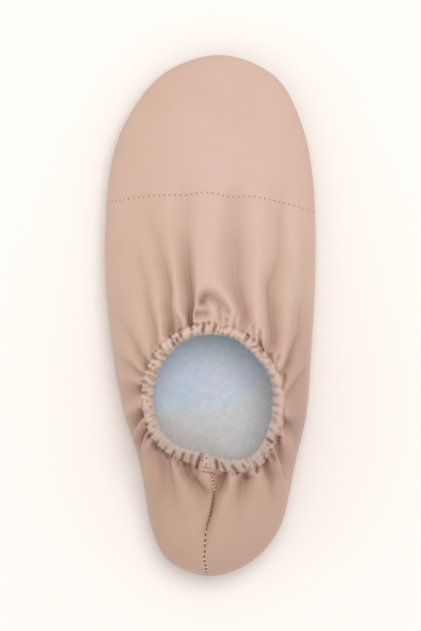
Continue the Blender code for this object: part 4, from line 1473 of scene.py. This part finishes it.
def make_casing():
    """A closed ring of puffs around the opening, pleated, and pressed by the folds that run under it."""
    mesh = bmesh.new()
    bmesh.ops.create_grid(mesh, x_segments=BAND_COLUMNS, y_segments=BAND_SIDES, size=0.5)
    place = places_of(mesh)
    angle = 360 * (place[:, 0] + 0.5)
    side = math.tau * (place[:, 1] + 0.5)
    across = (1 - np.cos(side)) / 2
    share = pleat_share(angle, across)
    which = np.searchsorted([pleat[0] for pleat in PLEATS], np.mod(angle, 360)) % len(PLEATS)
    puff = 1 - np.clip(pleat_share(angle, across * 0) / PUFF_EDGE, 0, 1)
    outer_edge, inner_edge = around(CASING, 1, angle), around(CASING, 2, angle)
    middle = MM * (outer_edge + inner_edge) / 2
    half = MM * (outer_edge - inner_edge) / 2
    out = middle + half * np.cos(side) * (1 - EDGE_DRAW * share) + MM * PUFF_OUT[which] * puff
    up = BAND_RISE * np.sin(side) * (1 - share) + BAND_LEAN * np.cos(side) + MM * PUFF_UP[which] * puff
    plan = collar_ring(angle, out)
    pressed = np.maximum(fold_height(plan / MM) + DRAPED * drape_height(plan / MM), MOST_PRESSED)
    up = up + MM * pressed * smooth(RIM_PRESSED + TOP_PRESSED * np.sin(side))
    put_places(mesh, np.column_stack([plan, MM * around(COLLAR, 2, angle) + up]))
    write_uv(mesh, MM * around(COLLAR, 1, angle) * np.radians(angle), MM * side)
    # where the casing's inner side takes the lining's greyer colour and painted shade
    add_values(mesh, "inner", comes_in(across, *INNER_RANGE))
    # painted shade in the casing's pleats and pockets
    add_values(mesh, "painted_shade", np.clip(PLEAT_SHADE * share + np.maximum(-pressed, 0) / POCKET_SHADE_FULL, 0, 1))
    bmesh.ops.remove_doubles(mesh, verts=mesh.verts, dist=DOUBLE)
    return mesh


def write_uv(mesh, along_it, across_it):
    """UV in metres for each vertex of the mesh."""
    layer = mesh.loops.layers.uv.new("cloth")
    mesh.verts.index_update()
    for face in mesh.faces:
        for loop in face.loops:
            index = loop.vert.index
            loop[layer].uv = (along_it[index], across_it[index])


casing_cloth = cloth_finish(
    "rose casing cloth", CASING_ROSE, CASING_PINK, CASING_DEEP, CASING_HEEL_SHADE, CASING_OUTER_TONE
)
casing = add_piece("elastic_casing", make_casing(), [casing_cloth], sharp=75)
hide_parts("collar_band")


# Seam stitches
# The toe panel is joined to the body with one row of thread, flat against the cloth. The heel is closed with
# a ladder stitch that pulls small holes open, and the casing's ends meet over it in a puff held by a few
# stitches.

SEAM_STEP = 0.1                  # mm
THREAD_ROSE = (0.700, 0.510, 0.415)
# painted shade: the dark tones of the beads that stand in the holes
THREAD_WORN = (0.620, 0.440, 0.355)
HOLE_SHADE = (0.200, 0.120, 0.085)
HOLE_SHADE_DEEP = (0.130, 0.080, 0.055)
NEEDLE_SHADE = (0.400, 0.265, 0.205)
NEEDLE_SHADE_DEEP = (0.300, 0.190, 0.145)
SEAM_FOOT = 4.6                  # mm over the floor where the seams end at the sole
BEAD_TURN = 8
BEAD_RINGS = 5
BEAD_NEAR = 4                    # steps on either side that a bead takes its direction from
SEAM_REST = 0.5                  # mm left bare at a seam's end
RAY_TOP = 60.0                   # mm over the floor
RAY_OFF = 30.0                   # mm inside the walls

# Where the seams have stitches, by their run in mm: the toe seam's from its inner side, the heel seam's
# from the casing down. A row that says 999 runs on to the seam's end.
TOE_THREADS = [
    # from   to     pitch       long   wide   thick
    (1.75,   999,   TOE_STITCH, 1.7,   0.42,  0.30),
]
TOE_HOLE_SHADE = [
    # from   to     pitch       long   wide   thick
    (0.5,    999,   TOE_STITCH, 1.0,   0.75,  0.25),
]
HEEL_HOLE_SHADE = [
    # from   to     pitch  long   wide   thick
    (0.8,    8.5,   1.9,   1.0,   1.2,   0.35),
    (8.5,    12.0,  1.8,   1.4,   1.1,   0.45),
    (12.0,   25.5,  2.1,   1.9,   1.30,  0.60),
    (26.5,   66.0,  2.8,   2.0,   1.1,   0.40),
]
HEEL_THREADS = [
    # from   to     pitch  long   wide   thick
    (1.75,   8.5,   1.9,   0.9,   2.0,   0.70),
    (27.9,   66.0,  2.8,   0.8,   2.0,   0.75),
]
JOIN_HOLE_SHADE = [
    # from   to     pitch  long   wide   thick
    (0.4,    999,   1.3,   0.6,   0.5,   0.3),
]
JOIN_STITCH = (1.0, 1.1, 1, 1.0, 0.8, 0.4)                                    # one in the middle of 2 mm
JOIN_STITCHES = [(262.6, 1.5), (262.3, -1.0), (259.0, 0.5), (262.6, 2.9)]     # clock angle, mm out
JOIN_ROW = [(258.0, 5.6), (262.0, 5.3), (266.0, 5.2), (270.5, 5.4), (274.0, 5.8)]


def surface_of(piece):
    """A search tree over a piece's faces."""
    corners = [vertex.co for vertex in piece.data.vertices]
    return BVHTree.FromPolygons(corners, [list(face.vertices) for face in piece.data.polygons])


def met(surface, rays):
    """Where rays (from, way) in mm meet the surface, and its normals there."""
    hits = [surface.ray_cast(Vector(start) * MM, Vector(way)) for start, way in rays]
    hits = [hit for hit in hits if hit[0] is not None]
    return [hit[0] for hit in hits], [hit[1] for hit in hits]


def seen_from_above(path):
    """Rays straight down on a smooth path."""
    path = np.array(path, dtype=float)
    run = run_along(path)
    line = curve_points(run, path, np.arange(0, run[-1], SEAM_STEP))
    return [((x, y, RAY_TOP), (0, 0, -1)) for x, y in line]


def seam_walls(surface, path, way_in, way_out):
    """A seam over the cloth, with its ends led down the walls to the sole; way_in or way_out may be None."""
    points, normals = met(surface, seen_from_above(path))
    for way, end in ((way_in, 0), (way_out, -1)):
        if way is None:
            continue
        top = points[end] / MM
        start = (top.x - RAY_OFF * way[0], top.y - RAY_OFF * way[1])
        heights = np.arange(top.z, SEAM_FOOT, -SEAM_STEP)
        more, more_normals = met(surface, [((*start, z), way) for z in heights])
        if end == 0:
            points, normals = more[::-1] + points, more_normals[::-1] + normals
        else:
            points, normals = points + more, normals + more_normals
    return points, normals


def lay_beads(mesh, seam, first, last, pitch, length, width, thick):
    """Flattened beads, half sunk in the cloth, along a seam's points and normals."""
    points, normals = np.array(seam[0]), np.array(seam[1])
    run = run_along(points) / MM
    for place in np.arange(first, min(last, run[-1] - SEAM_REST), pitch):
        index = int(np.clip(np.searchsorted(run, place), BEAD_NEAR, len(run) - BEAD_NEAR - 1))
        up = Vector(normals[index - BEAD_NEAR:index + BEAD_NEAR + 1].mean(axis=0)).normalized()
        ahead = Vector(points[index + BEAD_NEAR] - points[index - BEAD_NEAR])
        across = up.cross(ahead).normalized()
        ahead = across.cross(up)
        shape = Matrix((ahead * length, across * width, up * thick)).transposed() * (MM / 2)
        seat = Matrix.Translation(points[index]) @ shape.to_4x4()
        bmesh.ops.create_uvsphere(mesh, u_segments=BEAD_TURN, v_segments=BEAD_RINGS, radius=1, matrix=seat)


def stitched(*seams):
    """A bmesh of the beads along seams, each given with the table of its stitches."""
    mesh = bmesh.new()
    for seam, stitches in seams:
        for row in stitches:
            lay_beads(mesh, seam, *row)
    return mesh


def thread_finish(name, light, worn, rough):
    """Dull spun thread, or the painted shade that stands in a hole."""
    material, shader = blank(name, Roughness=rough, Sheen_Weight=0.2)
    fuzz = noise(shader, node(shader, "ShaderNodeTexCoord")["Object"], 1400.0, 2.0)
    dress(shader, ramp(shader, fuzz, [(0.35, worn), (0.65, light)]), fuzz, 0.3, 0.05 * MM)
    return material


thread = thread_finish("rose thread", THREAD_ROSE, THREAD_WORN, 0.6)
needle_hole_shade = thread_finish("needle hole shade", NEEDLE_SHADE, NEEDLE_SHADE_DEEP, 0.9)
pulled_hole_shade = thread_finish("pulled hole shade", HOLE_SHADE, HOLE_SHADE_DEEP, 0.9)
cloth_surface = surface_of(upper)
casing_surface = surface_of(casing)
toe_seam = seam_walls(cloth_surface, TOE_SEAM, (1, 0, 0), (-1, 0, 0))
heel_seam = seam_walls(cloth_surface, HEEL_SEAM, None, (0, 1, 0))
join_row = met(cloth_surface, seen_from_above(beside_casing(JOIN_ROW)))
join_spots = [
    met(casing_surface, seen_from_above(beside_casing([(angle, out - 1), (angle, out + 1)])))
    for angle, out in JOIN_STITCHES
]
heel_threads = stitched((heel_seam, HEEL_THREADS))
heel_hole_shade = stitched((heel_seam, HEEL_HOLE_SHADE), (join_row, JOIN_HOLE_SHADE))
join_hole_shade = stitched(*((spot, [JOIN_STITCH]) for spot in join_spots))
add_piece("toe_seam_thread", stitched((toe_seam, TOE_THREADS)), [thread])
add_piece("toe_seam_hole_shade", stitched((toe_seam, TOE_HOLE_SHADE)), [needle_hole_shade])
add_piece("heel_seam_thread", heel_threads, [thread])
add_piece("heel_seam_hole_shade", heel_hole_shade, [pulled_hole_shade])
add_piece("casing_join_hole_shade", join_hole_shade, [pulled_hole_shade])


# Floor, light and camera
# A plain pale floor, a bright even room, one large soft lamp from the toe and inner side, a weak one low on
# the outer side, and a camera straight above the shoe with the toe up.

FLOOR_SIDE = 8.0
FLOOR_COLOUR = (0.893, 0.860, 0.830)
ROOM_COLOUR = (1.0, 0.985, 0.97)
ROOM_STRENGTH = 0.78
SHOE_SHARE = 0.82                # of the view's height
CAMERA_LENS = 300.0
SENSOR = 36.0

floor_mesh = bmesh.new()
bmesh.ops.create_grid(floor_mesh, x_segments=1, y_segments=1, size=FLOOR_SIDE / 2)
floor_data = as_data("floor", floor_mesh)
floor_material, floor_shader = blank("floor", Roughness=0.9)
floor_shader.inputs["Base Color"].default_value = (*FLOOR_COLOUR, 1)
floor_data.materials.append(floor_material)
floor = in_scene("floor", floor_data)

room = bpy.data.worlds.new("room")
room.use_nodes = True
room.node_tree.nodes["Background"].inputs["Color"].default_value = (*ROOM_COLOUR, 1)
room.node_tree.nodes["Background"].inputs["Strength"].default_value = ROOM_STRENGTH
bpy.context.scene.world = room


def soft_lamp(name, place, size, energy):
    """A round lamp turned to the shoe, which the camera doesn't see."""
    data = bpy.data.lights.new(name, "AREA")
    data.shape = "DISK"
    data.size = size
    data.energy = energy
    lamp = in_scene(name, data)
    lamp.location = place
    lamp.rotation_euler = (-Vector(place)).to_track_quat("-Z", "Y").to_euler()
    lamp.visible_camera = False


soft_lamp("window", (0.22, 0.40, 1.88), size=1.1, energy=15)
soft_lamp("fill", (-0.90, -0.10, 0.35), size=0.8, energy=0.7)

camera_data = bpy.data.cameras.new("camera")
camera_data.lens = CAMERA_LENS
camera_data.sensor_width = SENSOR
camera_data.clip_end = 20
camera = in_scene("camera", camera_data)
camera.location = (0, 0, LENGTH / SHOE_SHARE * CAMERA_LENS / SENSOR)
bpy.context.scene.camera = camera
bpy.context.scene.view_settings.view_transform = "Standard"
